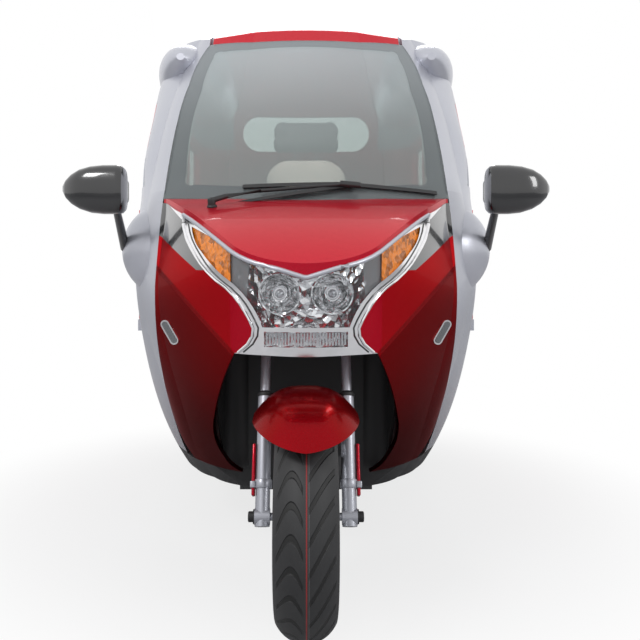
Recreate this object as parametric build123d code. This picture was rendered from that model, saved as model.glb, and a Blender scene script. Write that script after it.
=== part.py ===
from build123d import *
import math
import os

# Three wheeled cabin car, one wheel in front and two behind.
# Units are millimetres. +Z is up and the car faces -Y, so its left side is +X.
# Stations along the car ("s") are measured rearward from the front axle and
# moved to the middle of the car's length when a piece is written.

# ---------------------------------------------------------------- driving sizes
WHEEL_BASE = 1560.0
TYRE_R = 236.0
FRONT_TYRE_W = 120.0
REAR_TYRE_W = 108.0
RIM_R = 152.0
REAR_TRACK_HALF = 422.0
ARCH_R = 290.0

BODY_WALL = 28.0
ROOF_WALL = 26.0
HOOD_WALL = 12.0
GLASS_T = 5.0
GLASS_INSET = 5.0
SEAM = 0.5
SEAT_GAP = 0.3

SKIRT_BOTTOM = 183.0
SKIRT_TOP = 235.0
BELT_Z = 960.0
SILL_TOP = 325.0
DOOR_GAP = 5.0
DOOR_FRONT = 725.0
DOOR_REAR = 1360.0
DOOR_TOP = 1300.0
DOOR_BOTTOM = 330.0
HINGE_X = 506.0
HINGE_R = 9.0
QUARTER_REAR = DOOR_FRONT - DOOR_GAP
REAR_PANEL_FRONT = 1374.0

FORK_RAKE = 24.0
FORK_OFFSET = 25.0
LEG_X = 91.0
LEG_R = 15.5
STANCHION_R = 11.0
AXLE_R = 8.0
HUB_HALF = 58.0

FLOOR_T = 17.0
RAIL_X = 150.0
RAIL_W = 50.0
RAIL_H = 38.0

BAR_FOOT, BAR_TOP = 720.0, 960.0
BAR_S = 470.0
BAR_HALF = 265.0
COLUMN_R = 12.0
RUNNING_GAP = 0.3


# ---------------------------------------------------------------- shape helpers
def box(x0, x1, s0, s1, z0, z1):
    """Box given by its two corners."""
    centre = ((x0 + x1) / 2, (s0 + s1) / 2, (z0 + z1) / 2)
    return Pos(centre) * Box(abs(x1 - x0), abs(s1 - s0), abs(z1 - z0))


def both(shape):
    """The shape and its mirror image about the middle plane of the car."""
    return [shape, mirror(shape, about=Plane.YZ)]


def flip(shape):
    return mirror(shape, about=Plane.YZ)


def wire_of(points, place):
    """Closed wire. A point of two numbers ends a line; of four, an arc (middle, end)."""
    edges = []
    here = points[0][-2:]
    for item in list(points[1:]) + [points[0][-2:]]:
        end = item[-2:]
        if len(item) == 4:
            edges.append(ThreePointArc(place(here), place(item[:2]), place(end)))
        elif math.dist(here, end) > 1e-6:
            edges.append(Line(place(here), place(end)))
        here = end
    return Wire(edges)


def prism_y(points, s0, s1):
    """(x, z) outline run along the car from s0 to s1."""
    face = Face(wire_of(points, lambda p: Vector(p[0], s0, p[1])))
    return extrude(face, amount=s1 - s0, dir=(0, 1, 0))


def prism_x(points, x0, x1):
    """(s, z) outline run across the car from x0 to x1."""
    face = Face(wire_of(points, lambda p: Vector(x0, p[0], p[1])))
    return extrude(face, amount=x1 - x0, dir=(1, 0, 0))


def prism_z(points, z0, z1):
    """(x, s) outline run upward from z0 to z1."""
    face = Face(wire_of(points, lambda p: Vector(p[0], p[1], z0)))
    return extrude(face, amount=z1 - z0, dir=(0, 0, 1))


def rod(start, end, radius, bore=0.0):
    """Round bar or tube between two points."""
    start, end = Vector(*start), Vector(*end)
    run = end - start
    plane = Plane(origin=start, z_dir=run)
    solid = extrude(plane * Circle(radius), amount=run.length)
    if bore:
        solid -= extrude(plane * Circle(bore), amount=run.length)
    return solid


def fused(shapes):
    """One shape from several that meet."""
    whole = shapes[0]
    for shape in shapes[1:]:
        whole = whole + shape
    return whole


def turned(points, centre):
    """Revolve an (x, r) outline about the crosswise axis through centre (s, z)."""
    face = Face(wire_of(points, lambda p: Vector(p[0], centre[0], centre[1] + p[1])))
    return revolve(face, Axis((0, centre[0], centre[1]), (1, 0, 0)), 360)


# ---------------------------------------------------------------- body masters
# Plan outlines of the lower body, one row a height:
# z, nose s, nose corner x s, inner pillar x s, outer pillar x s,
# widest side x s, rear side x s, rear corner x s, tail s
HULL_ROWS = [
    (183, 372, 160, 390, 250, 470, 313, 557, 375, 760, 375, 1700, 300, 1850, 1870),
    (267, 250, 160, 290, 290, 415, 350, 530, 420, 740, 420, 1760, 340, 1930, 1955),
    (413, 60, 160, 115, 316, 330, 380, 462, 466, 700, 466, 1800, 380, 1985, 2012),
    (580, -30, 160, 30, 366, 352, 436, 490, 494, 690, 492, 1830, 400, 2012, 2040),
    (753, -80, 160, 0, 384, 378, 465, 510, 503, 680, 500, 1840, 400, 2010, 2040),
    (960, -30, 160, 50, 373, 400, 438, 515, 500, 710, 496, 1810, 395, 1975, 2005),
]
# Plan outlines of the cabin above, with the same columns.
CABIN_ROWS = [
    (880, 232, 200, 262, 375, 330, 442, 450, 500, 700, 496, 1818, 395, 1985, 2015),
    (960, 305, 200, 335, 373, 400, 438, 515, 500, 710, 496, 1810, 395, 1975, 2005),
    (1190, 518, 200, 545, 374, 603, 430, 690, 496, 800, 490, 1730, 380, 1905, 1935),
    (1320, 640, 190, 663, 359, 712, 410, 780, 500, 920, 488, 1680, 375, 1845, 1875),
    (1440, 750, 180, 770, 333, 808, 384, 870, 478, 980, 466, 1630, 360, 1790, 1820),
    (1530, 830, 160, 846, 312, 878, 350, 930, 425, 1010, 415, 1580, 320, 1720, 1745),
    (1615, 905, 130, 916, 250, 945, 290, 980, 345, 1050, 335, 1500, 260, 1610, 1630),
]
# How far each stretch of a plan outline bows outward.
BOWS = (10, 6, 12, 8, 45)


def plan_outline(row, inset):
    """Closed plan outline at one height, drawn in by the inset."""
    z, nose, *pairs, tail = row
    shares = ((-0.22, 1.0), (-0.9, 0.9), (-1.0, 0.6), (-1.0, 0), (-1.0, 0), (-0.7, -0.8))
    corners = []
    for index, (dx, ds) in enumerate(shares):
        x, s = pairs[2 * index:2 * index + 2]
        corners.append((x + dx * inset, s + ds * inset))
    sides = []
    for (ax, ay), (bx, by), bow in zip(corners, corners[1:], BOWS):
        run = math.hypot(bx - ax, by - ay)
        middle = ((ax + bx) / 2 + (by - ay) / run * bow, (ay + by) / 2 - (bx - ax) / run * bow)
        sides.append(((ax, ay), middle, (bx, by)))

    def at(point, side=1):
        return (side * point[0], point[1], z)

    first, last = corners[0], corners[-1]
    edges = [ThreePointArc(at(first, -1), (0, nose + inset, z), at(first))]
    edges += [ThreePointArc(at(a), at(m), at(b)) for a, m, b in sides]
    edges.append(ThreePointArc(at(last), (0, tail - inset, z), at(last, -1)))
    edges += [ThreePointArc(at(b, -1), at(m, -1), at(a, -1)) for a, m, b in reversed(sides)]
    return Wire(edges)


def master(rows, inset=0.0):
    """Smooth solid through the plan outlines, drawn in by the inset."""
    return loft([Face(plan_outline(row, inset)) for row in rows])


def crowned(profile, crown_r, drop=0.0):
    """Solid under a side profile of (s, z) points, rounded across with the crown radius."""
    top = max(point[-1] for point in profile)
    centre = top - crown_r
    first, last = profile[0], profile[-1][-2:]
    lowered = [tuple(v - drop if i % 2 else v for i, v in enumerate(p)) for p in profile]
    closed = [(first[0], centre + crown_r / 2)] + lowered + [(last[0], centre + crown_r / 2)]
    face = Face(wire_of(closed, lambda p: Vector(0, p[0], p[1])))
    sweep = math.degrees(math.atan(2 * 560 / crown_r))
    axis = Axis((0, 0, centre), (0, 1, 0))
    return revolve(face.rotate(axis, -sweep), axis, 2 * sweep)


HOOD_PROFILE = [(-200, 690), (-80, 765), (100, 863, 270, 922), (332, 941, 395, 957), (470, 970)]
HOOD_CROWN_R = 4000.0
ROOF_PROFILE = [(150, 1480), (780, 1496), (965, 1582, 1200, 1604), (1480, 1592, 1750, 1535), (2100, 1400)]
ROOF_CROWN_R = 1500.0

MADE = {}


def hull(inset):
    """Lower body drawn in by the inset, made once."""
    if ("hull", inset) not in MADE:
        MADE["hull", inset] = master(HULL_ROWS, inset)
    return MADE["hull", inset]


def cabin(inset):
    """Cabin drawn in by the inset, made once."""
    if ("cabin", inset) not in MADE:
        MADE["cabin", inset] = master(CABIN_ROWS, inset)
    return MADE["cabin", inset]


HULL = hull(0)
HULL_IN = hull(BODY_WALL)
HULL_SHELL = HULL - HULL_IN
CABIN = cabin(0)
CABIN_IN = cabin(BODY_WALL)
UNDER_ROOF = crowned(ROOF_PROFILE, ROOF_CROWN_R)
CABIN_SHELL = (CABIN & UNDER_ROOF) - (CABIN_IN & crowned(ROOF_PROFILE, ROOF_CROWN_R, ROOF_WALL))
UNDER_HOOD = crowned(HOOD_PROFILE, HOOD_CROWN_R)
UNDER_PANELS = crowned(HOOD_PROFILE, HOOD_CROWN_R, HOOD_WALL + SEAM)
FRONT_SHELL = HULL_SHELL & UNDER_PANELS

# ---------------------------------------------------------------- front outlines
# (x, z) outlines of the left half, seen from the front.
PILLAR_INNER = [(373, 960), (389, 800, 397, 708), (394, 600, 381, 478), (366, 360, 334, 235)]
LAMP_EDGE = [
    (296, 905), (286, 835, 259, 792), (224, 751, 177, 717), (142, 687, 121, 651),
    (110, 624, 119, 603), (131, 586, 152, 574),
]
LAMP_LIP_Z = 572.0
BAR_LOWER_EDGE = [(368, 932), (300, 873)]
LENS_OUTLINE = [
    (0, 734), (40, 744, 78, 759), (156, 796), (263, 850), (250, 812, 233, 791),
    (195, 753, 156, 725), (115, 684, 95, 648), (89, 633), (0, 633),
]
POSITION_OUTLINE = [(0, 592), (86, 592), (86, 624), (0, 624)]
AMBER_EDGE_X = 157.0
CAVITY_EDGE = [(152, 574), (186, 500, 213, 413), (222, 350, 205, 285), (190, 255, 162, 235)]
TRIM_FOOT = [(249, 750), (379, 838)]

PARTS = {}


def keep(name, *shapes):
    """Store the solids of one named piece."""
    solids = []
    for shape in shapes:
        for item in shape if isinstance(shape, (list, tuple)) else [shape]:
            solids.extend(item.solids())
    PARTS[name] = solids


def back_along(points):
    """The same run of points and arcs in the other direction."""
    back = [points[-1][-2:]]
    for item, before in zip(reversed(points[1:]), list(reversed(points[:-1]))):
        end = before[-2:]
        back.append((item[0], item[1], end[0], end[1]) if len(item) == 4 else end)
    return back


def front_cut(points, reach=560.0, start=-320.0):
    """Prism along the car over a front outline."""
    return prism_y(points, start, reach)


def side_cut(points, x0=-600.0, x1=600.0):
    """Prism across the car over a side outline."""
    return prism_x(points, x0, x1)


# ---------------------------------------------------------------- hood and lamps
hood_outline = [(-372, 600), (372, 600), (372, 1000), (-372, 1000)]
hood = (HULL & UNDER_HOOD) - crowned(HOOD_PROFILE, HOOD_CROWN_R, HOOD_WALL)
hood = (hood & front_cut(hood_outline, 470)) - cabin(-SEAM)


def tip_zone(drop):
    """Space over the hood's pointed front edge, lowered by the drop."""
    edge = [(0, 738 - drop), (78, 763 - drop), (120, 783 - drop), (120, 840), (0, 840)]
    half = front_cut(edge, 60)
    return half + flip(half)


hood += (HULL - hull(HOOD_WALL)) & tip_zone(0) & UNDER_HOOD
keep("hood", hood)

lamp_area = [(0, 1000), (296, 1000)] + LAMP_EDGE + [(85, LAMP_LIP_Z + 2), (0, LAMP_LIP_Z)]
bar_tip = [(290, 1000), (368, 1000)] + BAR_LOWER_EDGE + [(290, 868)]
lamp_half = front_cut(lamp_area, 480) + front_cut(bar_tip, 480)
lens_half = front_cut(LENS_OUTLINE, 480)
position_half = front_cut(POSITION_OUTLINE, 480)
bezel_shell = (hull(-3) - hull(14)) & UNDER_PANELS
bezel = (bezel_shell & lamp_half) - lens_half - position_half
keep("lamp_bezel", (bezel + flip(bezel)) - tip_zone(SEAM))

lens_shell = (hull(1) - hull(7)) & UNDER_PANELS
amber_side = box(AMBER_EDGE_X + SEAM, 300, -200, 300, 700, 900)
clear_side = box(-1, AMBER_EDGE_X - SEAM, -200, 300, 600, 900)
lens = lens_shell & lens_half
position_lens = lens_shell & position_half
main_lens = lens & clear_side
keep("headlamp_lens", main_lens + flip(main_lens), position_lens + flip(position_lens))
amber = lens & amber_side
keep("turn_lenses", both(amber))

# The reflector hangs from the hood's underside and has a bowl round each bulb.
BULB_X, BULB_Z, BULB_R = 54.0, 702.0, 9.0
BULB_TIP_S, BULB_FOOT_S = -26.0, 34.0
BOWL_R, BOWL_THROAT_R, BOWL_T = 44.0, 16.0, 3.0
BOWL_RIM_S, BOWL_FOOT_S = -22.0, 30.0
back_shell = (hull(52) - hull(60)) & crowned(HOOD_PROFILE, HOOD_CROWN_R, HOOD_WALL + SEAT_GAP)
back_shell &= box(-320, 320, -120, 300, LAMP_LIP_Z, 870)
reflector = back_shell & front_cut(lamp_area, 480)


def bowl(inset, reach):
    """Cone of a lamp bowl drawn in by the inset and run on by the reach at both ends."""
    depth = BOWL_FOOT_S - BOWL_RIM_S
    slope = (BOWL_R - BOWL_THROAT_R) / depth
    axis = Plane(origin=(BULB_X, BOWL_RIM_S - reach, BULB_Z), z_dir=(0, 1, 0))
    wide, narrow = BOWL_R - inset + slope * reach, BOWL_THROAT_R - inset - slope * reach
    cone = Cone(wide, narrow, depth + 2 * reach, align=(Align.CENTER, Align.CENTER, Align.MIN))
    return axis * cone


reflector = (reflector + bowl(0, 0)) - bowl(BOWL_T, 4)
reflector += rod((BULB_X, BOWL_FOOT_S - 6, BULB_Z), (BULB_X, BULB_FOOT_S, BULB_Z), BOWL_THROAT_R)
reflector += rod((BULB_X, BULB_TIP_S, BULB_Z), (BULB_X, BULB_FOOT_S, BULB_Z), BULB_R)
keep("lamp_reflector", reflector + flip(reflector))

# ---------------------------------------------------------------- front panels
QUARTER_OUTLINE = PILLAR_INNER + [(560, 235), (560, 960)]
quarter_zone = front_cut(QUARTER_OUTLINE, QUARTER_REAR)
trim_outline = [(200, 1000), (400, 1000), (400, 845)] + TRIM_FOOT[::-1] + [(200, 749)]
trim_zone = front_cut(trim_outline, 480) - quarter_zone - lamp_half
trim = FRONT_SHELL & trim_zone
keep("lamp_trims", both(trim))

fairing_outline = [(100, 860), (400, 860), (400, SKIRT_TOP)] + back_along(CAVITY_EDGE) + [(100, 574)]
fairing_zone = front_cut(fairing_outline, 600) - quarter_zone - lamp_half - front_cut(trim_outline, 600)
keep("front_fairings", both(FRONT_SHELL & fairing_zone))

# ---------------------------------------------------------------- silver pillars
# Cabin pillar inner edge from belt to roof, seen from the front (x, z).
PILLAR_UPPER = [(373, 960), (378, 1080, 374, 1190), (369, 1260, 359, 1320), (348, 1390, 312, 1478)]
ROOF_EDGE_X = 300.0
WINDSHIELD_TOP = 1478.0
RAIL_BOTTOM = DOOR_TOP + DOOR_GAP
RAIL_FRONT = 900.0
SLANT_LOW = (DOOR_FRONT, 1132.0)
SLANT_HIGH = (RAIL_FRONT - 10, DOOR_TOP)

MIRROR_BOSS = (462.0, 560.0, 806.0)
BOSS_R = 114.0
BOSS_OUT = 522.0
HINGE_S = (DOOR_FRONT + QUARTER_REAR) / 2
HINGE_ZS = (600.0, 900.0)
KNUCKLE_H = 34.0
LEAF_REACH = 34.0

quarter = HULL_SHELL & quarter_zone
boss_rise = BOSS_OUT - MIRROR_BOSS[0]
dome_r = (BOSS_R ** 2 + boss_rise ** 2) / (2 * boss_rise)
boss = Pos(BOSS_OUT - dome_r, *MIRROR_BOSS[1:]) * Sphere(dome_r)
quarter += boss - HULL
body_knuckles, door_knuckles = [], []
for z in HINGE_ZS:
    low = rod((HINGE_X, HINGE_S, z - KNUCKLE_H), (HINGE_X, HINGE_S, z - 0.5), HINGE_R)
    low += box(440, HINGE_X + HINGE_R * 0.5, HINGE_S - LEAF_REACH, HINGE_S, z - KNUCKLE_H, z - 0.5)
    high = rod((HINGE_X, HINGE_S, z + 0.5), (HINGE_X, HINGE_S, z + KNUCKLE_H), HINGE_R)
    high += box(440, HINGE_X + HINGE_R * 0.5, HINGE_S, HINGE_S + LEAF_REACH, z + 0.5, z + KNUCKLE_H)
    body_knuckles.append(low)
    door_knuckles.append(high)
hinge_ends = [(HINGE_X, HINGE_S, HINGE_ZS[0] - 60), (HINGE_X, HINGE_S, HINGE_ZS[-1] + 60)]
hinge_room = rod(*hinge_ends, HINGE_R + DOOR_GAP)
quarter = (quarter - hinge_room) + (fused(body_knuckles) - HULL)
keep("front_quarters", both(quarter))

pillar_outline = PILLAR_UPPER + [(312, 1700), (600, 1700), (600, 960)]
pillar_side = [
    (200, 960), (QUARTER_REAR, 960), (QUARTER_REAR, SLANT_LOW[1] + 2), (SLANT_HIGH[0] - 5, RAIL_BOTTOM),
    (RAIL_FRONT, RAIL_BOTTOM), (RAIL_FRONT, 1700), (200, 1700),
]
QUARTER_WINDOW = [(598, 995), (698, 995), (698, 1085), (690, 1090, 682, 1085)]
quarter_window = side_cut(QUARTER_WINDOW, 300)
pillar = (CABIN_SHELL & front_cut(pillar_outline, 1200)) & side_cut(pillar_side)
pillar -= quarter_window
keep("a_pillars", both(pillar))

# ---------------------------------------------------------------- windshield
glass_edge = [(0, 900), (373, 900)] + PILLAR_UPPER[:-1]
glass_edge += [(348, 1390, 312, WINDSHIELD_TOP), (0, WINDSHIELD_TOP)]
WINDSHIELD_CLEAR = [
    (0, 958), (150, 962, 292, 972), (316, 978, 318, 1000), (328, 1150, 314, 1290),
    (306, 1370, 292, 1420), (286, 1440, 262, 1443), (120, 1450, 0, 1452),
]
over_hood = front_cut(glass_edge, 1000) - UNDER_HOOD
front_space = over_hood & box(-1, 400, 200, 905, 880, 1500)
outer_glass = (CABIN - cabin(GLASS_T)) & front_space
keep("windshield", outer_glass + flip(outer_glass))
seal = (cabin(GLASS_T) - cabin(GLASS_T + 12)) & front_space
seal -= front_cut(WINDSHIELD_CLEAR, 1100)
keep("windshield_frame", seal + flip(seal))

# ---------------------------------------------------------------- roof
roof = CABIN_SHELL & box(-ROOF_EDGE_X, ROOF_EDGE_X, 600, 2100, WINDSHIELD_TOP, 1700)
keep("roof_panel", roof)
TAIL_EDGE_X = 330.0
rail_zone = box(ROOF_EDGE_X, 600, RAIL_FRONT, 2100, WINDSHIELD_TOP, 1700)
rail_zone += box(TAIL_EDGE_X, 600, RAIL_FRONT, 2100, RAIL_BOTTOM, WINDSHIELD_TOP)
rail = CABIN_SHELL & rail_zone
rail += CABIN_SHELL & box(ROOF_EDGE_X, TAIL_EDGE_X, RAIL_FRONT, 1500, RAIL_BOTTOM, WINDSHIELD_TOP)
keep("roof_rails", both(rail))

# ---------------------------------------------------------------- rear body
wheel_space = rod((300, WHEEL_BASE, TYRE_R), (600, WHEEL_BASE, TYRE_R), ARCH_R)
SIDE_WINDOW = [(1420, 1000), (1640, 1000), (1675, 1006, 1672, 1040), (1650, 1262), (1420, 1262)]
rear_low = HULL_SHELL & box(TAIL_EDGE_X, 600, REAR_PANEL_FRONT, 2100, SKIRT_TOP, BELT_Z)
rear_low -= wheel_space
rear_high = CABIN_SHELL & box(TAIL_EDGE_X, 600, REAR_PANEL_FRONT, 2100, BELT_Z, RAIL_BOTTOM)
rear_high -= side_cut(SIDE_WINDOW, 300)
keep("rear_quarters", both(rear_low + rear_high))

REAR_WINDOW_Z, REAR_WINDOW_H, REAR_WINDOW_W = 1375.0, 150.0, 580.0
TAIL_LAMP = [(205, 650), (318, 670), (318, 770), (225, 745)]
PLATE_HOLE_R, PLATE_HOLE_X, PLATE_Z, PLATE_FACE = 3.5, 75.0, 520.0, 2054.0
SCREW_ROOM = 3.0
rw, rh = REAR_WINDOW_W / 2, REAR_WINDOW_H / 2
rear_window_outline = [
    (-rw + rh, REAR_WINDOW_Z - rh), (rw - rh, REAR_WINDOW_Z - rh),
    (rw, REAR_WINDOW_Z, rw - rh, REAR_WINDOW_Z + rh),
    (-rw + rh, REAR_WINDOW_Z + rh), (-rw, REAR_WINDOW_Z, -rw + rh, REAR_WINDOW_Z - rh),
]
rear_window = prism_y(rear_window_outline, 1600, 2100)
tail_lamp = prism_y(TAIL_LAMP, 1700, 2100)
tail_low = HULL_SHELL & box(-TAIL_EDGE_X, TAIL_EDGE_X, 1700, 2100, SKIRT_TOP, BELT_Z)
tail_low -= tail_lamp + flip(tail_lamp)
for x in (-PLATE_HOLE_X, PLATE_HOLE_X):
    tail_low -= rod((x, 1900, PLATE_Z), (x, PLATE_FACE + 10, PLATE_Z), PLATE_HOLE_R + SCREW_ROOM)
tail_high = CABIN_SHELL & box(-TAIL_EDGE_X, TAIL_EDGE_X, 1500, 2100, BELT_Z, WINDSHIELD_TOP)
tail_high -= rear_window
keep("tail_panel", tail_low + tail_high)

lamp_shell = hull(-4) - hull(14)
keep("tail_lamps", both(lamp_shell & tail_lamp))

# ---------------------------------------------------------------- side glass
pane_shell = cabin(GLASS_INSET) - cabin(GLASS_INSET + GLASS_T)
DOOR_WINDOW = [(790, 992), (1300, 992), (1322, 1000, 1322, 1020), (1318, 1240), (1314, 1262, 1290, 1264),
               (925, 1264), (902, 1260, 880, 1240), (775, 1128), (770, 1115, 770, 1010), (776, 996, 790, 992)]
keep("fixed_glass", both(pane_shell & quarter_window), both(pane_shell & side_cut(SIDE_WINDOW, 300)),
     pane_shell & rear_window)

# ---------------------------------------------------------------- doors
door_side = [
    (DOOR_FRONT, DOOR_BOTTOM), (1361, DOOR_BOTTOM), (1367, 560), (1368, 960), (1365, DOOR_TOP),
    SLANT_HIGH, (DOOR_FRONT, SLANT_LOW[1] - 3),
]
door_zone = side_cut(door_side, 200)
door = (HULL_SHELL & door_zone) + (CABIN_SHELL & box(200, 600, 600, 1500, BELT_Z, 1400) & door_zone)
door -= side_cut(DOOR_WINDOW, 300)
door -= wheel_space
door = (door - hinge_room) + (fused(door_knuckles) - HULL)
HANDLE_S, HANDLE_Z, HANDLE_OUT = (1215.0, 1325.0), (862.0, 886.0), 524.0
handle = fillet(box(470, HANDLE_OUT, *HANDLE_S, *HANDLE_Z).edges().filter_by(Axis.X), 8)
door += handle - HULL
keep("door_left", door)
keep("door_right", flip(door))
pane = pane_shell & side_cut(DOOR_WINDOW, 300)
keep("door_glass_left", pane)
keep("door_glass_right", flip(pane))


# ---------------------------------------------------------------- floor and chassis
CAVITY_REAR = 393.0
FLOOR_REAR = 1292.0
RAIL_TOP = SKIRT_BOTTOM - SEAT_GAP
BELOW_FLOOR = RAIL_TOP - RAIL_H
HEAD_BOTTOM, HEAD_TOP = 640.0, 770.0
HEAD_R = 24.0
STEM_R = 13.0
TUBE_R = 15.0

steer_dir = Vector(0, math.sin(math.radians(FORK_RAKE)), math.cos(math.radians(FORK_RAKE)))
steer_foot = Vector(0, FORK_OFFSET / math.cos(math.radians(FORK_RAKE)), TYRE_R)


def steer_point(z):
    """Point of the steering axis at a height."""
    return steer_foot + steer_dir * ((z - TYRE_R) / steer_dir.Z)


def leg_point(x, z):
    """Point of a fork leg's centre line at a height."""
    run = (z - TYRE_R) / steer_dir.Z
    return Vector(x, run * steer_dir.Y, z)


head = rod(steer_point(HEAD_BOTTOM), steer_point(HEAD_TOP), HEAD_R, STEM_R + 0.5)
head_room = rod(steer_point(HEAD_BOTTOM), steer_point(HEAD_TOP), STEM_R + 0.5)
TUBE_X, TUBE_S = 75.0, 425.0
TUBE_TOP = 660.0
BEAM_T = 14.0
BUSH_LOW, BUSH_HIGH, BUSH_R = 730.0, 778.0, 20.0
STAY_R = 10.0


def column_point(z):
    """Point of the handlebar's column at a height; it runs beside the steering axis."""
    return Vector(0, BAR_S + (z - BAR_FOOT) * math.tan(math.radians(FORK_RAKE)), z)


head_mid = steer_point((HEAD_BOTTOM + HEAD_TOP) / 2)
bush_mid = column_point((BUSH_LOW + BUSH_HIGH) / 2)
frame_solid = head
stays = [rod((x, TUBE_S, TUBE_TOP), bush_mid, STAY_R) for x in (-TUBE_X, TUBE_X)]
for x in (-TUBE_X, TUBE_X):
    frame_solid += rod((x, TUBE_S, RAIL_TOP - BEAM_T / 2), (x, TUBE_S, TUBE_TOP), TUBE_R)
    frame_solid += Pos(x, TUBE_S, TUBE_TOP) * Sphere(TUBE_R)
    frame_solid += rod((x, TUBE_S, TUBE_TOP), (0, head_mid.Y + 4, head_mid.Z), TUBE_R)
frame_solid -= head_room
frame_solid += rod(column_point(BUSH_LOW), column_point(BUSH_HIGH), BUSH_R) + fused(stays)
frame_solid -= rod(column_point(BAR_FOOT - 20), column_point(BUSH_HIGH + 20), COLUMN_R + RUNNING_GAP)
KICK_S, KICK_TOP = FLOOR_REAR + 112, 328.0
REAR_RAIL_END = 1918.0
RAIL_FOOT = 408.0
rail_side = [
    (RAIL_FOOT, RAIL_TOP - BEAM_T), (RAIL_FOOT + 240, BELOW_FLOOR), (KICK_S - 96, BELOW_FLOOR),
    (KICK_S, KICK_TOP - RAIL_H), (REAR_RAIL_END, KICK_TOP - RAIL_H), (REAR_RAIL_END, KICK_TOP),
    (KICK_S - 12, KICK_TOP), (KICK_S - 104, RAIL_TOP), (RAIL_FOOT, RAIL_TOP),
]
for x in (-RAIL_X, RAIL_X):
    frame_solid += prism_x(rail_side, x - RAIL_W / 2, x + RAIL_W / 2)
frame_solid += box(-RAIL_X, RAIL_X, RAIL_FOOT, RAIL_FOOT + RAIL_W, RAIL_TOP - BEAM_T, RAIL_TOP)
for s in (1420, REAR_RAIL_END - RAIL_W):
    frame_solid += box(-RAIL_X, RAIL_X, s, s + RAIL_W, KICK_TOP - RAIL_H, KICK_TOP)
JACK_X = 330.0
TIE_X, TIE_R = 300.0, 9.0
for s in (860, 1240):
    frame_solid += box(-JACK_X, JACK_X, s, s + RAIL_W, BELOW_FLOOR, RAIL_TOP)
for x in (-TIE_X, TIE_X):
    frame_solid -= rod((x, 1265, BELOW_FLOOR - 1), (x, 1265, RAIL_TOP + 1), TIE_R)
keep("chassis_frame", frame_solid)

floor_zone = box(-600, 600, CAVITY_REAR, FLOOR_REAR, SKIRT_BOTTOM, SKIRT_TOP)
floor = HULL & floor_zone
floor -= HULL_IN & box(-600, 600, CAVITY_REAR + 12, FLOOR_REAR - 12, SKIRT_BOTTOM + FLOOR_T, SKIRT_TOP + 1)
sill = HULL_SHELL & box(200, 600, QUARTER_REAR + SEAM, REAR_PANEL_FRONT - SEAM, SKIRT_TOP, SILL_TOP)
sill -= wheel_space
floor += sill + flip(sill)
for x in (-TUBE_X, TUBE_X):
    floor -= rod((x, TUBE_S, SKIRT_BOTTOM - 1), (x, TUBE_S, SKIRT_TOP), TUBE_R + SEAM)
keep("floor_pan", floor)

LINER_T = 5.0
LINER_TOP = 560.0
liner_plan = [(-214, 330), (-214, 170), (-214 + LINER_T, 170), (-214 + LINER_T, 330),
              (-196, 372, -150, 380),
              (150, 380), (196, 372, 214 - LINER_T, 330), (214 - LINER_T, 170), (214, 170), (214, 330),
              (200, 378, 150, 386), (-150, 386), (-200, 378, -214, 330)]
liner = prism_z(liner_plan, SKIRT_TOP + SEAM, LINER_TOP) & HULL_IN
keep("wheel_arch_liner", liner)

# ---------------------------------------------------------------- rear running gear
AXLE_TUBE_R = 28.0
DRUM_R, DRUM_X0, DRUM_X1 = 75.0, 348.0, 380.0
MOTOR_R, MOTOR_HALF = 84.0, 92.0
STUB_R = 12.0
STUB_END = 452.0
axle_centre = (WHEEL_BASE, TYRE_R)
axle = rod((-DRUM_X1, *axle_centre), (DRUM_X1, *axle_centre), AXLE_TUBE_R)
axle += rod((-MOTOR_HALF, *axle_centre), (MOTOR_HALF, *axle_centre), MOTOR_R)
axle += rod((-STUB_END, *axle_centre), (STUB_END, *axle_centre), STUB_R)
for side in (-1, 1):
    axle += rod((side * DRUM_X0, *axle_centre), (side * DRUM_X1, *axle_centre), DRUM_R)
keep("rear_axle", axle)

SPRING_HALF, SPRING_T, SPRING_W = 152.0, 10.0, 44.0
spring_top = KICK_TOP - RAIL_H - SEAT_GAP
spring_mid = TYRE_R + AXLE_TUBE_R + SEAT_GAP
spring_points = [
    (WHEEL_BASE - SPRING_HALF, spring_top - SPRING_T),
    (WHEEL_BASE, spring_mid, WHEEL_BASE + SPRING_HALF, spring_top - SPRING_T),
    (WHEEL_BASE + SPRING_HALF, spring_top),
    (WHEEL_BASE, spring_mid + SPRING_T, WHEEL_BASE - SPRING_HALF, spring_top),
]
springs = [prism_x(spring_points, x - SPRING_W / 2, x + SPRING_W / 2) for x in (-RAIL_X, RAIL_X)]
keep("leaf_springs", springs)

TUB_Z, TUB_T, TUB_X = KICK_TOP + SEAT_GAP, 10.0, 340.0
INNER_ZONE = hull(BODY_WALL + SEAM)
tub = box(-TUB_X, TUB_X, FLOOR_REAR - 12, 2000, TUB_Z, TUB_Z + TUB_T) & INNER_ZONE
tub += box(-TUB_X, TUB_X, FLOOR_REAR - 22, FLOOR_REAR - 12, SKIRT_BOTTOM + FLOOR_T + SEAT_GAP, TUB_Z + TUB_T)
for side in (-1, 1):
    ring = rod((side * TUB_X, *axle_centre), (side * 600, *axle_centre), ARCH_R + 5, ARCH_R)
    disc = rod((side * (TUB_X - 5), *axle_centre), (side * TUB_X, *axle_centre), ARCH_R + 5)
    tub += (ring + disc) & box(-600, 600, 1200, 1950, TUB_Z - 60, 900) & INNER_ZONE
tub -= rod((-TUB_X + 5, *axle_centre), (TUB_X - 5, *axle_centre), MOTOR_R + 6)
keep("rear_tub", tub)

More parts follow.
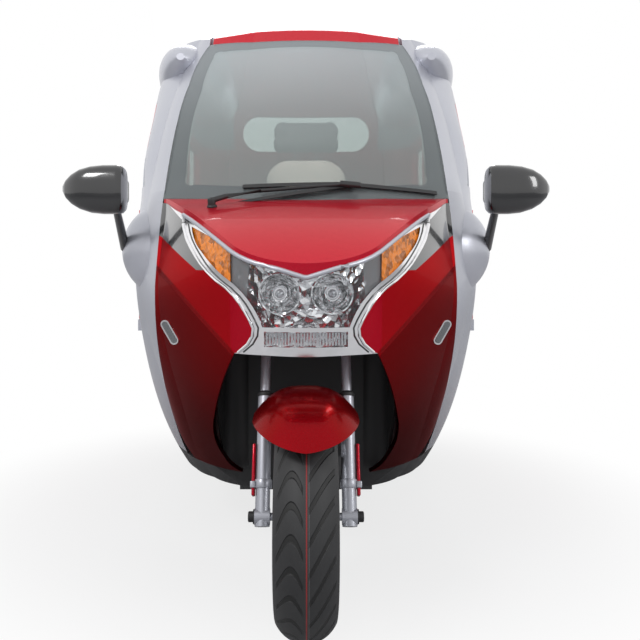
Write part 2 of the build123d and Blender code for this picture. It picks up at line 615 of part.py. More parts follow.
# ---------------------------------------------------------------- cabin inside
FLOOR_TOP = SKIRT_BOTTOM + FLOOR_T
SEAT_FRONT, SEAT_REAR, SEAT_TOP = 965.0, 1262.0, 560.0
SEAT_HALF = 225.0
CUSHION_T = 95.0
seat_box = box(-SEAT_HALF + 15, SEAT_HALF - 15, SEAT_FRONT + 20, SEAT_REAR, FLOOR_TOP + SEAT_GAP, SEAT_TOP)
seat_box = fillet(seat_box.edges().filter_by(Axis.Z), 18)
keep("seat_base", seat_box)
cushion = box(-SEAT_HALF, SEAT_HALF, SEAT_FRONT, SEAT_REAR - 30, SEAT_TOP + SEAT_GAP, SEAT_TOP + CUSHION_T)
cushion = fillet(cushion.edges(), 28)
keep("driver_cushion", cushion)

BACK_LEAN = 12.0
BACK_SET = 25.0
back_foot = (0, SEAT_REAR - BACK_SET, SEAT_TOP + SEAT_GAP + BACK_SET * math.tan(math.radians(BACK_LEAN)))
back_outline = [
    (-175, 0), (175, 0), (205, 60, 205, 200), (196, 420, 165, 520), (120, 640, 70, 655), (-70, 655),
    (-120, 640, -165, 520), (-196, 420, -205, 200), (-205, 60, -175, 0),
]
face = Face(wire_of(back_outline, lambda p: Vector(p[0], 0, p[1])))
back = extrude(face, amount=78, dir=(0, 1, 0))
back = Pos(back_foot) * Rot(-BACK_LEAN, 0, 0) * back
HEAD_OUTLINE = [
    (-96, 682), (96, 682), (128, 690, 130, 740), (124, 800, 80, 812), (-80, 812),
    (-124, 800, -130, 740), (-128, 690, -96, 682),
]
face = Face(wire_of(HEAD_OUTLINE, lambda p: Vector(p[0], 4, p[1])))
rest = extrude(face, amount=70, dir=(0, 1, 0))
posts = rod((-45, 42, 640), (-45, 42, 700), 6) + rod((45, 42, 640), (45, 42, 700), 6)
rest = Pos(back_foot) * Rot(-BACK_LEAN, 0, 0) * (rest + posts)
keep("driver_back", back + rest)

BENCH_FRONT, BENCH_REAR, BENCH_TOP = 1500.0, 1800.0, 470.0
bench = box(-320, 320, BENCH_FRONT, BENCH_REAR, TUB_Z + TUB_T + SEAT_GAP, BENCH_TOP)
bench = fillet(bench.edges().filter_by(Axis.X), 24)
bench_back = box(-320, 320, BENCH_REAR - 60, BENCH_REAR + 15, BENCH_TOP + SEAT_GAP, 930)
bench_back = fillet(bench_back.edges().filter_by(Axis.X), 24)
keep("rear_bench", bench, bench_back)

DASH_HALF = 338.0
dash_side = [
    (330, 868), (430, 905), (470, 922, 505, 925), (536, 915, 532, 880), (520, 800, 486, 700),
    (474, 700), (500, 800, 508, 872), (506, 896, 480, 897), (430, 885), (330, 848),
]
dash = prism_x(dash_side, -DASH_HALF, DASH_HALF) & INNER_ZONE & crowned(HOOD_PROFILE, HOOD_CROWN_R, HOOD_WALL + 4)
dash -= rod(column_point(BAR_FOOT - 60), column_point(BAR_TOP + 60), BUSH_R + DOOR_GAP)
for x in (-TUBE_X, TUBE_X):
    dash -= rod((x, TUBE_S, TUBE_TOP), bush_mid, STAY_R + DOOR_GAP)
keep("dashboard", dash)

# ---------------------------------------------------------------- mirrors and wiper
MIRROR_X, MIRROR_S, MIRROR_Z = 536.0, 380.0, 956.0
MIRROR_R, MIRROR_TIP_R = 66.0, 30.0
MIRROR_IN, MIRROR_OUT = 82.0, 94.0
MIRROR_BACK = 14.0
shell = rod((MIRROR_X - MIRROR_IN, MIRROR_S, MIRROR_Z), (MIRROR_X, MIRROR_S, MIRROR_Z), MIRROR_R)
taper = Cone(MIRROR_R, MIRROR_TIP_R, MIRROR_OUT, align=(Align.CENTER, Align.CENTER, Align.MIN))
shell += Plane(origin=(MIRROR_X, MIRROR_S, MIRROR_Z), z_dir=(1, 0, 0)) * taper
rings = shell.edges().filter_by(GeomType.CIRCLE).sort_by(Axis.X)
shell = fillet(rings[-1], 26)
rings = shell.edges().filter_by(GeomType.CIRCLE).sort_by(Axis.X)
shell = fillet(rings[0], 14)
shell -= box(MIRROR_X - 120, 700, MIRROR_S + MIRROR_BACK, MIRROR_S + 100, 800, 1100)
arm_top = Vector(MIRROR_X - 44, MIRROR_S - 2, MIRROR_Z - 48)
arm_foot = Vector(MIRROR_BOSS[0] + 46, MIRROR_BOSS[1] - 52, MIRROR_BOSS[2] + 8)
arm = rod(arm_top, arm_foot, 11) - boss
keep("mirror_housings", both(shell + arm))
glass = box(MIRROR_X - 70, MIRROR_X + 50, MIRROR_S + MIRROR_BACK + SEAT_GAP, MIRROR_S + MIRROR_BACK + 3,
            MIRROR_Z - 38, MIRROR_Z + 38)
glass = fillet(glass.edges().filter_by(Axis.Y), 20)
keep("mirror_glass", both(glass))

blade_zone = prism_y([(-160, 957), (100, 962), (338, 945), (338, 954), (100, 972), (-160, 966)], 200, 480)
blade = (cabin(-9) - cabin(-SEAT_GAP)) & blade_zone
arm_zone = prism_y([(-243, 906), (-228, 902), (120, 959), (120, 970)], 150, 480)
arm = (cabin(-18) - cabin(-9)) & arm_zone
wiper = (blade + arm) - crowned(HOOD_PROFILE, HOOD_CROWN_R, -SEAT_GAP)
keep("wiper", wiper)

# ---------------------------------------------------------------- tail
holder = box(-125, 125, 1990, PLATE_FACE, PLATE_Z - 60, PLATE_Z + 60) - hull(-SEAT_GAP)
for x in (-PLATE_HOLE_X, PLATE_HOLE_X):
    holder -= rod((x, 1990, PLATE_Z), (x, PLATE_FACE + 1, PLATE_Z), PLATE_HOLE_R)
keep("plate_holder", holder)
bumper = (hull(-16) - hull(-SEAT_GAP)) & box(-430, 430, 1900, 2100, 300, 410)
keep("rear_bumper", bumper)

# ---------------------------------------------------------------- front fork
YOKE_Z = 590.0
LEG_SPLIT_Z = 470.0
legs = []
for x in (-LEG_X, LEG_X):
    leg = rod(leg_point(x, TYRE_R - 18), leg_point(x, LEG_SPLIT_Z), LEG_R)
    leg += rod(leg_point(x, LEG_SPLIT_Z - 5), leg_point(x, YOKE_Z + 10), STANCHION_R)
    leg += rod((x - 16, 0, TYRE_R), (x + 16, 0, TYRE_R), 17)
    legs.append(leg)
fork = fused(legs) + rod((-LEG_X - 22, 0, TYRE_R), (LEG_X + 22, 0, TYRE_R), AXLE_R)
yoke_leg, yoke_stem = leg_point(LEG_X, YOKE_Z), steer_point(YOKE_Z)
yoke_plane = Plane(origin=yoke_stem, x_dir=(1, 0, 0), z_dir=steer_dir)
YOKE_T = 26.0
yoke_plate = Pos(0, -FORK_OFFSET / 2) * RectangleRounded(2 * LEG_X + 44, 54 + FORK_OFFSET, 20)
yoke = extrude(yoke_plane * yoke_plate, amount=YOKE_T / 2, both=True)
fork += yoke + rod(steer_point(YOKE_Z), steer_point(HEAD_TOP + 18), STEM_R)
keep("fork", fork)

# ---------------------------------------------------------------- front mudguard
GUARD_R, GUARD_HALF, GUARD_EDGE_R, GUARD_T = 270.0, 108.0, 212.0, 3.0
GUARD_FRONT, GUARD_REAR = 52.0, 48.0
guard_profile = [
    (-GUARD_HALF, GUARD_EDGE_R), (-70, 262, 0, GUARD_R), (70, 262, GUARD_HALF, GUARD_EDGE_R),
    (GUARD_HALF - GUARD_T, GUARD_EDGE_R), (70 - GUARD_T * 0.6, 262 - GUARD_T, 0, GUARD_R - GUARD_T),
    (-70 + GUARD_T * 0.6, 262 - GUARD_T, -GUARD_HALF + GUARD_T, GUARD_EDGE_R),
]
face = Face(wire_of(guard_profile, lambda p: Vector(p[0], 0, TYRE_R + p[1])))
axle_axis = Axis((0, 0, TYRE_R), (1, 0, 0))
guard = revolve(face.rotate(axle_axis, GUARD_FRONT), axle_axis, -(GUARD_FRONT + GUARD_REAR))
for x in (-LEG_X, LEG_X):
    guard -= rod(leg_point(x, TYRE_R), leg_point(x, YOKE_Z), LEG_R + SEAM)
# The front lip runs down to a point in the middle.
lip = [(0, 401), (62, 408, 100, 438), (GUARD_HALF + 5, 452), (GUARD_HALF + 5, 340), (0, 340)]
lip_cut = prism_y(lip, -320, -20)
guard -= lip_cut + flip(lip_cut)
keep("front_mudguard", guard)
DISC_X, DISC_T, DISC_R = HUB_HALF + SEAT_GAP, 4.0, 108.0
CALIPER_X = LEG_X - LEG_R - SEAT_GAP
caliper = box(DISC_X - 10, CALIPER_X, 32, 92, TYRE_R + 62, TYRE_R + 122)
caliper &= rod((DISC_X - 10, 0, TYRE_R), (CALIPER_X, 0, TYRE_R), DISC_R + 14)
caliper -= rod((DISC_X - 1, 0, TYRE_R), (DISC_X + DISC_T + 1, 0, TYRE_R), DISC_R + 3)
keep("brake_caliper", caliper)

# ---------------------------------------------------------------- handlebar
bar = rod(column_point(BAR_FOOT), column_point(BAR_TOP), COLUMN_R)
for side in (-1, 1):
    end = column_point(BAR_TOP) + Vector(side * BAR_HALF, 40, 6)
    elbow = column_point(BAR_TOP) + Vector(side * 150, -6, 0)
    bar += rod(column_point(BAR_TOP), elbow, 11) + Pos(elbow) * Sphere(11) + rod(elbow, end, 11)
    bar += rod(elbow + (end - elbow) * 0.2, end, 16)
keep("handlebar", bar)

# ---------------------------------------------------------------- wheels
SPOKES = 5


def tyre_outline(width, tread_r, crown):
    """(x, r) section of a tyre seated on its rim."""
    half, seat = width / 2, 41.0
    shoulder = tread_r - crown
    belly = (RIM_R + shoulder) / 2
    return [
        (-seat, RIM_R), (-half + 2, belly - 6, -half, shoulder), (0, tread_r, half, shoulder),
        (half - 2, belly - 6, seat, RIM_R),
    ]


def rim_solid(centre, bore, hub_r, hub_half):
    """Cast wheel: barrel, hub and spokes."""
    barrel = turned([
        (-46, RIM_R + 8), (-41, RIM_R + 8), (-41, RIM_R), (41, RIM_R), (41, RIM_R + 8), (46, RIM_R + 8),
        (46, RIM_R - 6), (30, RIM_R - 10), (-30, RIM_R - 10), (-46, RIM_R - 6),
    ], centre)
    hub = rod((-hub_half, *centre), (hub_half, *centre), hub_r)
    spoke = prism_x([
        (centre[0] - 20, centre[1] + hub_r * 0.6), (centre[0] + 20, centre[1] + hub_r * 0.6),
        (centre[0] + 12, centre[1] + RIM_R - 6), (centre[0] - 12, centre[1] + RIM_R - 6),
    ], -12, 12)
    wheel = barrel + hub
    for index in range(SPOKES):
        wheel += spoke.rotate(Axis((0, *centre), (1, 0, 0)), index * 360 / SPOKES)
    return wheel - rod((-hub_half - 1, *centre), (hub_half + 1, *centre), bore)


front_centre = (0.0, TYRE_R)
FIT = 0.3
front_rim = rim_solid(front_centre, AXLE_R + FIT, 30, HUB_HALF)
keep("front_tyre", turned(tyre_outline(FRONT_TYRE_W, TYRE_R, 36.0), front_centre) - front_rim)
keep("front_rim", front_rim)
disc = rod((DISC_X, *front_centre), (DISC_X + DISC_T, *front_centre), DISC_R, AXLE_R + 12)
keep("front_brake_disc", disc)
rear_rim = rim_solid(axle_centre, STUB_R + FIT, 36, 30)
rear_tyre = turned(tyre_outline(REAR_TYRE_W, TYRE_R, 16.0), axle_centre) - rear_rim
for side, name in ((1, "left"), (-1, "right")):
    move = Pos(side * REAR_TRACK_HALF, 0, 0)
    keep("rear_tyre_" + name, move * rear_tyre)
    keep("rear_rim_" + name, move * rear_rim)

# ---------------------------------------------------------------- write the pieces
everything = Compound([solid for solids in PARTS.values() for solid in solids])
extent = everything.bounding_box()
y_mid = (extent.min.Y + extent.max.Y) / 2
print("length", extent.size.Y, "width", extent.size.X, "height", extent.size.Z, "base", extent.min.Z)
print("middle station", y_mid)
os.makedirs("parts", exist_ok=True)
for name, solids in PARTS.items():
    moved = [Pos(0, -y_mid, 0) * solid for solid in solids]
    export_step(Compound(moved) if len(moved) > 1 else moved[0], f"parts/{name}.step")
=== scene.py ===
"""Dress a three wheeled cabin car: paint, glass, lamps, tyres, seats and small fittings."""

import logging
import math
from collections.abc import Sequence
from dataclasses import dataclass
from enum import Enum
from functools import cached_property, partialmethod

import bmesh
import bpy
from mathutils import Matrix, Vector
from mathutils.bvhtree import BVHTree


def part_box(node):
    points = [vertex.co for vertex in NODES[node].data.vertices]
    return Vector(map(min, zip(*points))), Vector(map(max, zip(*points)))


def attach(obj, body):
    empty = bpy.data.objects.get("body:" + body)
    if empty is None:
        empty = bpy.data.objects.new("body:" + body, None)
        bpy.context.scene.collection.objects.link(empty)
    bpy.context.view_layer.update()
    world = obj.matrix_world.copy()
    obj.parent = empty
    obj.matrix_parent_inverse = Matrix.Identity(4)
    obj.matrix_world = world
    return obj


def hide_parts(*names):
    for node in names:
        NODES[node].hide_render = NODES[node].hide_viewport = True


LOG = logging.getLogger("cabin_car")
MM = 0.001
FLAKES_PER_M = 2600.0
Pair = tuple[float, float]
Triple = tuple[float, float, float]
Form = bmesh.types.BMesh
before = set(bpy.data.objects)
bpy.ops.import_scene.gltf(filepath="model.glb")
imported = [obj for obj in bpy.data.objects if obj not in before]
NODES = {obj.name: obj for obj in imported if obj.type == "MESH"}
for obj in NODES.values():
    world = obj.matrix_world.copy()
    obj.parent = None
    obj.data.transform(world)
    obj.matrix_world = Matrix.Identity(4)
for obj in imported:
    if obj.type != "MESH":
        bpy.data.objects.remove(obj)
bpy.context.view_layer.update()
FRONT_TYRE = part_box("front_tyre")
REAR_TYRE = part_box("rear_tyre_left")
FRONT_AXLE = (FRONT_TYRE[0] + FRONT_TYRE[1]) / 2
REAR_AXLE = (REAR_TYRE[0] + REAR_TYRE[1]) / 2
TYRE_R = FRONT_AXLE.z
EYE = Vector((0.0, FRONT_AXLE.y - 1.5, 0.75))
BACKWARD = Vector((0.0, 1.0, 0.0))
FOCAL_PX = 720.0
FRAME_PX = 640.0
CENTRE_PX = 306.0
HORIZON_PX = 270.0


class Socket:
    """A shader value that takes part in Python expressions."""

    def __init__(self, graph: "Graph", link: bpy.types.NodeSocket) -> None:
        """Wrap one output socket of a graph."""
        self.graph = graph
        self.link = link

    def _math(self, operation: str, other: object = None) -> "Socket":
        """Output of one Math node that starts from this value."""
        values = {0: self} if other is None else {0: self, 1: other}
        return self.graph.node("Math", values, operation=operation)

    __add__ = partialmethod(_math, "ADD")
    __sub__ = partialmethod(_math, "SUBTRACT")
    __mul__ = partialmethod(_math, "MULTIPLY")
    __gt__ = partialmethod(_math, "GREATER_THAN")
    __lt__ = partialmethod(_math, "LESS_THAN")
    most = partialmethod(_math, "MAXIMUM")
    absolute = partialmethod(_math, "ABSOLUTE")
    sine = partialmethod(_math, "SINE")
    fraction = partialmethod(_math, "FRACT")
    turn_from = partialmethod(_math, "ARCTAN2")

    def __rsub__(self, other: object) -> "Socket":
        """Difference, reflected."""
        return self.graph.node("Math", {0: other, 1: self}, operation="SUBTRACT")

    def within(self, low: float, high: float) -> "Socket":
        """Smooth ramp from 0 at low to 1 at high, held at both ends."""
        values = {0: self, 1: low, 2: high, 3: 0.0, 4: 1.0}
        return self.graph.node("MapRange", values, interpolation_type="SMOOTHSTEP")


class Graph:
    """A node tree and the ways to add to it."""

    def __init__(self, tree: bpy.types.NodeTree) -> None:
        """Take a node tree."""
        self.tree = tree

    def node(self, kind: str, inputs: dict, output: object = 0, **settings: object) -> Socket:
        """Add one node.

        Args:
            kind: the node's type, without ShaderNode before it.
            inputs: socket name or index to a value or a wrapped socket.
            output: name or index of the output to wrap.
            settings: properties set before its sockets.

        Returns:
            The chosen output, wrapped.
        """
        made = self.tree.nodes.new("ShaderNode" + kind)
        for key, value in settings.items():
            setattr(made, key, value)
        for key, value in inputs.items():
            self.fill(made.inputs[key], value)
        return Socket(self, made.outputs[output])

    def fill(self, socket: bpy.types.NodeSocket, value: object) -> None:
        """Link or set one input.

        Args:
            socket: the input.
            value: a wrapped socket, a number or a three-part colour.
        """
        if isinstance(value, Socket):
            self.tree.links.new(value.link, socket)
        else:
            socket.default_value = (*value, 1.0) if socket.type == "RGBA" else value

    def show(self, share: Socket, first: Socket, second: Socket, end: str = "Material Output") -> None:
        """Send two surfaces to the output, blended by the second one's share."""
        mixed = self.node("MixShader", {0: share, 1: first, 2: second})
        self.fill(self.tree.nodes[end].inputs["Surface"], mixed)


class Shader(Graph):
    """One material and the nodes that feed its surface shader."""

    def __init__(self, name: str) -> None:
        """Start an empty node material.

        Args:
            name: the material's name.
        """
        self.material = bpy.data.materials.new(name)
        self.material.use_nodes = True
        super().__init__(self.material.node_tree)
        self.surface = self.tree.nodes["Principled BSDF"]

    def place(self) -> Socket:
        """Object coordinates in metres."""
        return self.node("TexCoord", {}, "Object")

    def axis(self, letter: str) -> Socket:
        """One object coordinate in metres."""
        return self.node("SeparateXYZ", {0: self.place()}, letter)

    def noise(self, scale: float, detail: float = 3.0) -> Socket:
        """Cloudy value from 0 to 1, by its cells a metre and its octaves."""
        inputs = {"Vector": self.place(), "Scale": scale, "Detail": detail}
        return self.node("TexNoise", inputs)

    def cells(self, scale: float, output: str = "Distance") -> Socket:
        """One output of a cell pattern, by its cells a metre."""
        return self.node("TexVoronoi", {"Vector": self.place(), "Scale": scale}, output)

    def level(self, colour: Socket) -> Socket:
        """One channel of a colour."""
        return self.node("SeparateColor", {0: colour})

    def mix(self, factor: object, first: object, second: object) -> Socket:
        """Two colours, blended by the second one's share."""
        return self.node("Mix", {0: factor, 6: first, 7: second}, 2, data_type="RGBA")

    def feed(self, **inputs: object) -> None:
        """Set or link sockets of the surface shader, with underscores for spaces."""
        for key, value in inputs.items():
            self.fill(self.surface.inputs[key.replace("_", " ")], value)

    def bump(self, height: Socket, distance: float, strength: float = 1.0) -> None:
        """Roughen the surface by heights from 0 to 1, where 1 stands out by a distance in metres."""
        inputs = {"Strength": strength, "Distance": distance, "Height": height}
        self.feed(Normal=self.node("Bump", inputs))

    def see_through(self, share: Socket, tint: Triple) -> None:
        """Show only a share of the surface, and let tinted light pass for the rest."""
        clear = self.node("BsdfTransparent", {"Color": tint})
        self.show(share, clear, Socket(self, self.surface.outputs[0]))


def sight(x_px: float, y_px: float) -> Vector:
    """Direction from the eye, one unit long, of a pixel's line of sight."""
    aim = Vector(((x_px - CENTRE_PX) / FOCAL_PX, 1.0, (HORIZON_PX - y_px) / FOCAL_PX))
    return aim.normalized()


def dim(colour: Triple, share: float) -> Triple:
    """A colour at a share of its strength."""
    return tuple(part * share for part in colour)


@dataclass(frozen=True)
class Recipe:
    """What one material is made by."""

    name: str

    @cached_property
    def shader(self) -> Shader:
        """The material's shader, made once."""
        return Shader(self.name)

    def lay(self) -> None:
        """Set up the surface."""
        raise NotImplementedError

    def build(self) -> bpy.types.Material:
        """Make the material."""
        self.lay()
        return self.shader.material


@dataclass(frozen=True)
class CarPaint(Recipe):
    """Metallic lacquer with flakes under a clear coat, and painted shade that darkens it towards the
    bottom.
    """

    colour: Triple
    deep: Triple
    metallic: float = 0.45
    roughness: float = 0.3
    flake: float = 0.25
    coat: float = 0.3
    edge: Triple = (1.0, 1.0, 1.0)

    def lay(self) -> None:
        """Set up the surface."""
        shader = self.shader
        sparkle = shader.level(shader.cells(FLAKES_PER_M, "Color"))
        clouds = shader.noise(3.0, 2.0)
        # painted shade: the lacquer darkens towards the bottom, from 0.75 m down to 0.2 m
        low = shader.axis("Z").within(0.75, 0.2)
        tone = shader.mix(clouds * 0.4 + sparkle * self.flake, self.deep, self.colour)
        shader.feed(Base_Color=shader.mix(low * 0.55, tone, dim(self.deep, 0.5)))
        shader.feed(Metallic=self.metallic, Coat_Weight=self.coat, Coat_Roughness=0.03)
        shader.feed(Specular_IOR_Level=0.3, Specular_Tint=self.edge)
        shader.feed(Roughness=sparkle * 0.1 + self.roughness)
        shader.bump(shader.noise(160.0, 2.0), 0.00006, 0.35)


@dataclass(frozen=True)
class FairingPaint(Recipe):
    """Deep red lacquer with a painted highlight along the facet beside the lamps, darker below it, and
    painted shade towards the bottom.
    """

    colour: Triple = (0.36, 0.004, 0.014)
    deep: Triple = (0.085, 0.002, 0.004)
    # colour of the painted highlight on the facet
    bright: Triple = (0.62, 0.012, 0.03)
    crease_high: Pair = (157.0, 243.0)
    crease_low: Pair = (247.0, 338.0)
    facet: float = 0.05

    def lay(self) -> None:
        """Set up the surface."""
        shader = self.shader
        high, low = sight(*self.crease_high), sight(*self.crease_low)
        normal = high.cross(low).normalized()
        normal = -normal if normal.z < 0 else normal
        offset = shader.axis("X").absolute() * -normal.x + (shader.axis("Y") - EYE.y) * normal.y
        offset = offset + (shader.axis("Z") - EYE.z) * normal.z
        sparkle = shader.level(shader.cells(FLAKES_PER_M, "Color"))
        clouds = shader.noise(2.4, 2.0)
        # painted highlight: one side of the crease plane through the eye is mixed towards the bright colour
        facet = offset.within(-self.facet, -self.facet + 0.004)
        # painted shade: the fairing darkens towards the bottom, from 0.78 m down to 0.3 m
        body = shader.mix(shader.axis("Z").within(0.3, 0.78), self.deep, self.colour)
        body = shader.mix(clouds * 0.3 + sparkle * 0.2, body, self.deep)
        shader.feed(Base_Color=shader.mix(facet * 0.8, body, self.bright))
        shader.feed(Metallic=0.9, Coat_Weight=0.05, Coat_Roughness=0.03)
        shader.feed(Specular_IOR_Level=0.15, Specular_Tint=(0.45, 0.02, 0.03))
        shader.feed(Roughness=sparkle * 0.1 + 0.24)
        ramp = offset.within(-self.facet, -self.facet + 0.012)
        shader.bump(ramp, 0.006, 0.8)


@dataclass(frozen=True)
class Moulding(Recipe):
    """Moulded plastic or rubber with a fine grain."""

    colour: Triple
    roughness: float
    grain: float = 900.0
    depth: float = 0.00008
    coat: float = 0.0

    def lay(self) -> None:
        """Set up the surface."""
        shader = self.shader
        dust = shader.noise(14.0, 4.0)
        light = tuple(min(1.0, part * 1.7 + 0.006) for part in self.colour)
        shader.feed(Base_Color=shader.mix(dust * 0.6, self.colour, light))
        shader.feed(Roughness=dust * 0.12 + self.roughness, Coat_Weight=self.coat, Coat_Roughness=0.04)
        shader.bump(shader.noise(self.grain, 2.0), self.depth, 0.6)


@dataclass(frozen=True)
class Metal(Recipe):
    """Bare, cast or plated metal."""

    colour: Triple
    roughness: float
    grain: float = 60.0
    depth: float = 0.00003

    def lay(self) -> None:
        """Set up the surface."""
        shader = self.shader
        streaks = shader.noise(self.grain, 4.0)
        dark = dim(self.colour, 0.82)
        shader.feed(Base_Color=shader.mix(streaks, dark, self.colour), Metallic=1.0)
        shader.feed(Roughness=streaks * 0.1 + self.roughness)
        shader.bump(streaks, self.depth, 0.4)


@dataclass(frozen=True)
class Pane(Recipe):
    """Tinted glazing: a see-through film whose face holds a painted reflection of a soft sky, lighter and
    less clear towards the top.
    """

    tint: Triple
    # colours of the painted sky reflection, at the bottom and at the top of the glass
    low: Triple
    high: Triple
    density: float
    gloss: float = 0.04

    def lay(self) -> None:
        """Set up the surface."""
        shader = self.shader
        # painted reflection of the sky: the film lightens from 1.0 m to 1.5 m and hides more of what lies
        # behind it higher up
        height = shader.axis("Z").within(1.0, 1.5)
        haze = shader.noise(2.2, 2.0)
        edge = shader.node("Fresnel", {"IOR": 1.5})
        shader.feed(Base_Color=shader.mix(height, self.low, self.high))
        shader.feed(Roughness=self.gloss, Coat_Weight=1.0)
        share = edge * 0.4 + haze * 0.06 + height * self.density + self.density
        shader.see_through(share, self.tint)


@dataclass(frozen=True)
class FacetLens(Recipe):
    """Moulded lamp lens or reflector with small facets."""

    colour: Triple
    facet: float
    depth: float
    metallic: float = 0.0
    roughness: float = 0.08
    dark: float = 0.5
    coat: float = 1.0

    def lay(self) -> None:
        """Set up the surface."""
        shader = self.shader
        facets = shader.cells(self.facet)
        grey = shader.level(shader.cells(self.facet * 0.8, "Color")).within(0.15, 0.85)
        shade = dim(self.colour, self.dark)
        shader.feed(Base_Color=shader.mix(grey, shade, self.colour), Metallic=self.metallic)
        shader.feed(Roughness=grey * 0.1 + self.roughness, Coat_Weight=self.coat)
        shader.bump(facets, self.depth, 1.0)


@dataclass(frozen=True)
class Cloth(Recipe):
    """Woven seat cloth."""

    colour: Triple
    thread: float = 0.0016

    def lay(self) -> None:
        """Set up the surface."""
        shader = self.shader
        turns = 2 * math.pi / self.thread
        across = (shader.axis("X") * turns).sine()
        along = ((shader.axis("Z") + shader.axis("Y")) * turns).sine()
        weave = across * along * 0.5 + 0.5
        wear = shader.noise(9.0, 5.0)
        dark = dim(self.colour, 0.7)
        shader.feed(Base_Color=shader.mix(wear * 0.7 + weave * 0.3, dark, self.colour))
        shader.feed(Roughness=wear * 0.1 + 0.8, Sheen_Weight=0.25)
        shader.bump(weave, 0.0003, 0.5)


@dataclass(frozen=True)
class TreadRubber(Recipe):
    """Tyre rubber with curved grooves, painted shade in them, and a moulded line round the tread."""

    axle: Vector
    pitches: int = 26
    line: float = 0.0012

    def lay(self) -> None:
        """Set up the surface."""
        shader = self.shader
        dust = shader.noise(22.0, 5.0)
        rubber = shader.mix(dust, (0.008, 0.008, 0.009), (0.034, 0.034, 0.035))
        across = shader.axis("X") - self.axle.x
        ahead, above = shader.axis("Y") - self.axle.y, shader.axis("Z") - self.axle.z
        width = across.absolute()
        turn = above.turn_from(ahead) * (self.pitches / (2 * math.pi)) + 40.0
        right = across > 0.0
        bend = (width * 58.0).sine() * 0.85 * (1.0 - right) + (width * 30.0 + 0.5) * right
        sweep = (turn + bend).fraction()
        groove = sweep.within(0.0, 0.06) * sweep.within(0.3, 0.24)
        band = width.within(0.004, 0.009) * width.within(0.056, 0.05)
        cut = groove * band
        red = (across - 0.001).absolute() < self.line
        grey = (across - 0.0055).absolute() < self.line * 0.5
        lined = shader.mix(red * 0.8, rubber, (0.32, 0.015, 0.015))
        lined = shader.mix(grey * 0.4, lined, (0.22, 0.21, 0.21))
        # painted shade: the grooves are coloured near black
        shader.feed(Base_Color=shader.mix(cut, lined, (0.002, 0.002, 0.002)))
        shader.feed(Roughness=dust * 0.2 + 0.5)
        shader.bump(1.0 - cut + shader.noise(700.0, 3.0) * 0.03, 0.004, 0.9)


class Finish(Enum):
    """The car's finishes, each with its recipe."""

    RED = CarPaint("red_lacquer", (0.80, 0.010, 0.045), (0.50, 0.004, 0.018), 0.5, 0.26, 0.25, 0.35,
                   (0.8, 0.12, 0.18))
    GUARD_RED = CarPaint("guard_red_lacquer", (0.52, 0.003, 0.012), (0.26, 0.001, 0.004), 0.8, 0.22,
                         0.25, 0.12, (0.6, 0.04, 0.05))
    DEEP_RED = FairingPaint("deep_red_lacquer")
    SILVER = CarPaint("silver_lacquer", (0.66, 0.67, 0.73), (0.46, 0.47, 0.52), 0.6, 0.34, 0.3)
    CHROME = Metal("bright_plate", (0.97, 0.965, 0.98), 0.05)
    GLOSS_BLACK = Moulding("deep_gloss_black", (0.006, 0.006, 0.007), 0.14, 400.0, 0.00001, 1.0)
    BLACK = Moulding("black_moulding", (0.012, 0.012, 0.013), 0.5)
    GREY = Moulding("grey_moulding", (0.09, 0.095, 0.10), 0.5)
    RUBBER = Moulding("black_seal", (0.07, 0.075, 0.085), 0.3, 600.0, 0.00003, 0.6)
    FRAME_PAINT = Moulding("chassis_black", (0.02, 0.02, 0.021), 0.35, 300.0, 0.00005, 0.3)
    SCREEN = Pane("screen_glass", (0.93, 0.96, 0.95), (0.42, 0.47, 0.46), (0.74, 0.80, 0.82), 0.13)
    WINDOW = Pane("side_glass", (0.88, 0.93, 0.91), (0.12, 0.15, 0.15), (0.2, 0.23, 0.23), 0.05)
    LENS = Pane("lamp_glass", (0.98, 0.985, 0.99), (0.6, 0.62, 0.63), (0.7, 0.72, 0.73), 0.0, 0.03)
    AMBER = FacetLens("amber_facets", (1.0, 0.27, 0.004), 90.0, 0.003, 0.0, 0.25, 0.42, 0.2)
    TAIL_RED = FacetLens("tail_facets", (0.6, 0.01, 0.012), 150.0, 0.002, 0.0, 0.1)
    REFLECTOR = FacetLens("facet_reflector", (0.99, 0.99, 1.0), 46.0, 0.012, 1.0, 0.05, 0.78)
    BULB = FacetLens("bulb_glass", (0.75, 0.77, 0.8), 300.0, 0.0004, 0.3, 0.05)
    CLOTH = Cloth("woven_cloth", (0.62, 0.55, 0.48))
    DARK_CLOTH = Cloth("dark_seat_cloth", (0.07, 0.068, 0.068))
    MIRROR = Metal("silvered_glass", (0.88, 0.89, 0.9), 0.02, 8.0, 0.0)
    FRONT_TREAD = TreadRubber("front_tread", FRONT_AXLE)
    LEFT_TREAD = TreadRubber("left_tread", REAR_AXLE)
    RIGHT_TREAD = TreadRubber("right_tread", Vector((-REAR_AXLE.x, REAR_AXLE.y, REAR_AXLE.z)))
    ALLOY = Metal("cast_alloy", (0.72, 0.73, 0.75), 0.28, 90.0)
    STEEL = Metal("turned_steel", (0.6, 0.61, 0.62), 0.22, 240.0)

    def material(self) -> bpy.types.Material:
        """The finish's material, made once."""
        return bpy.data.materials.get(self.value.name) or self.value.build()


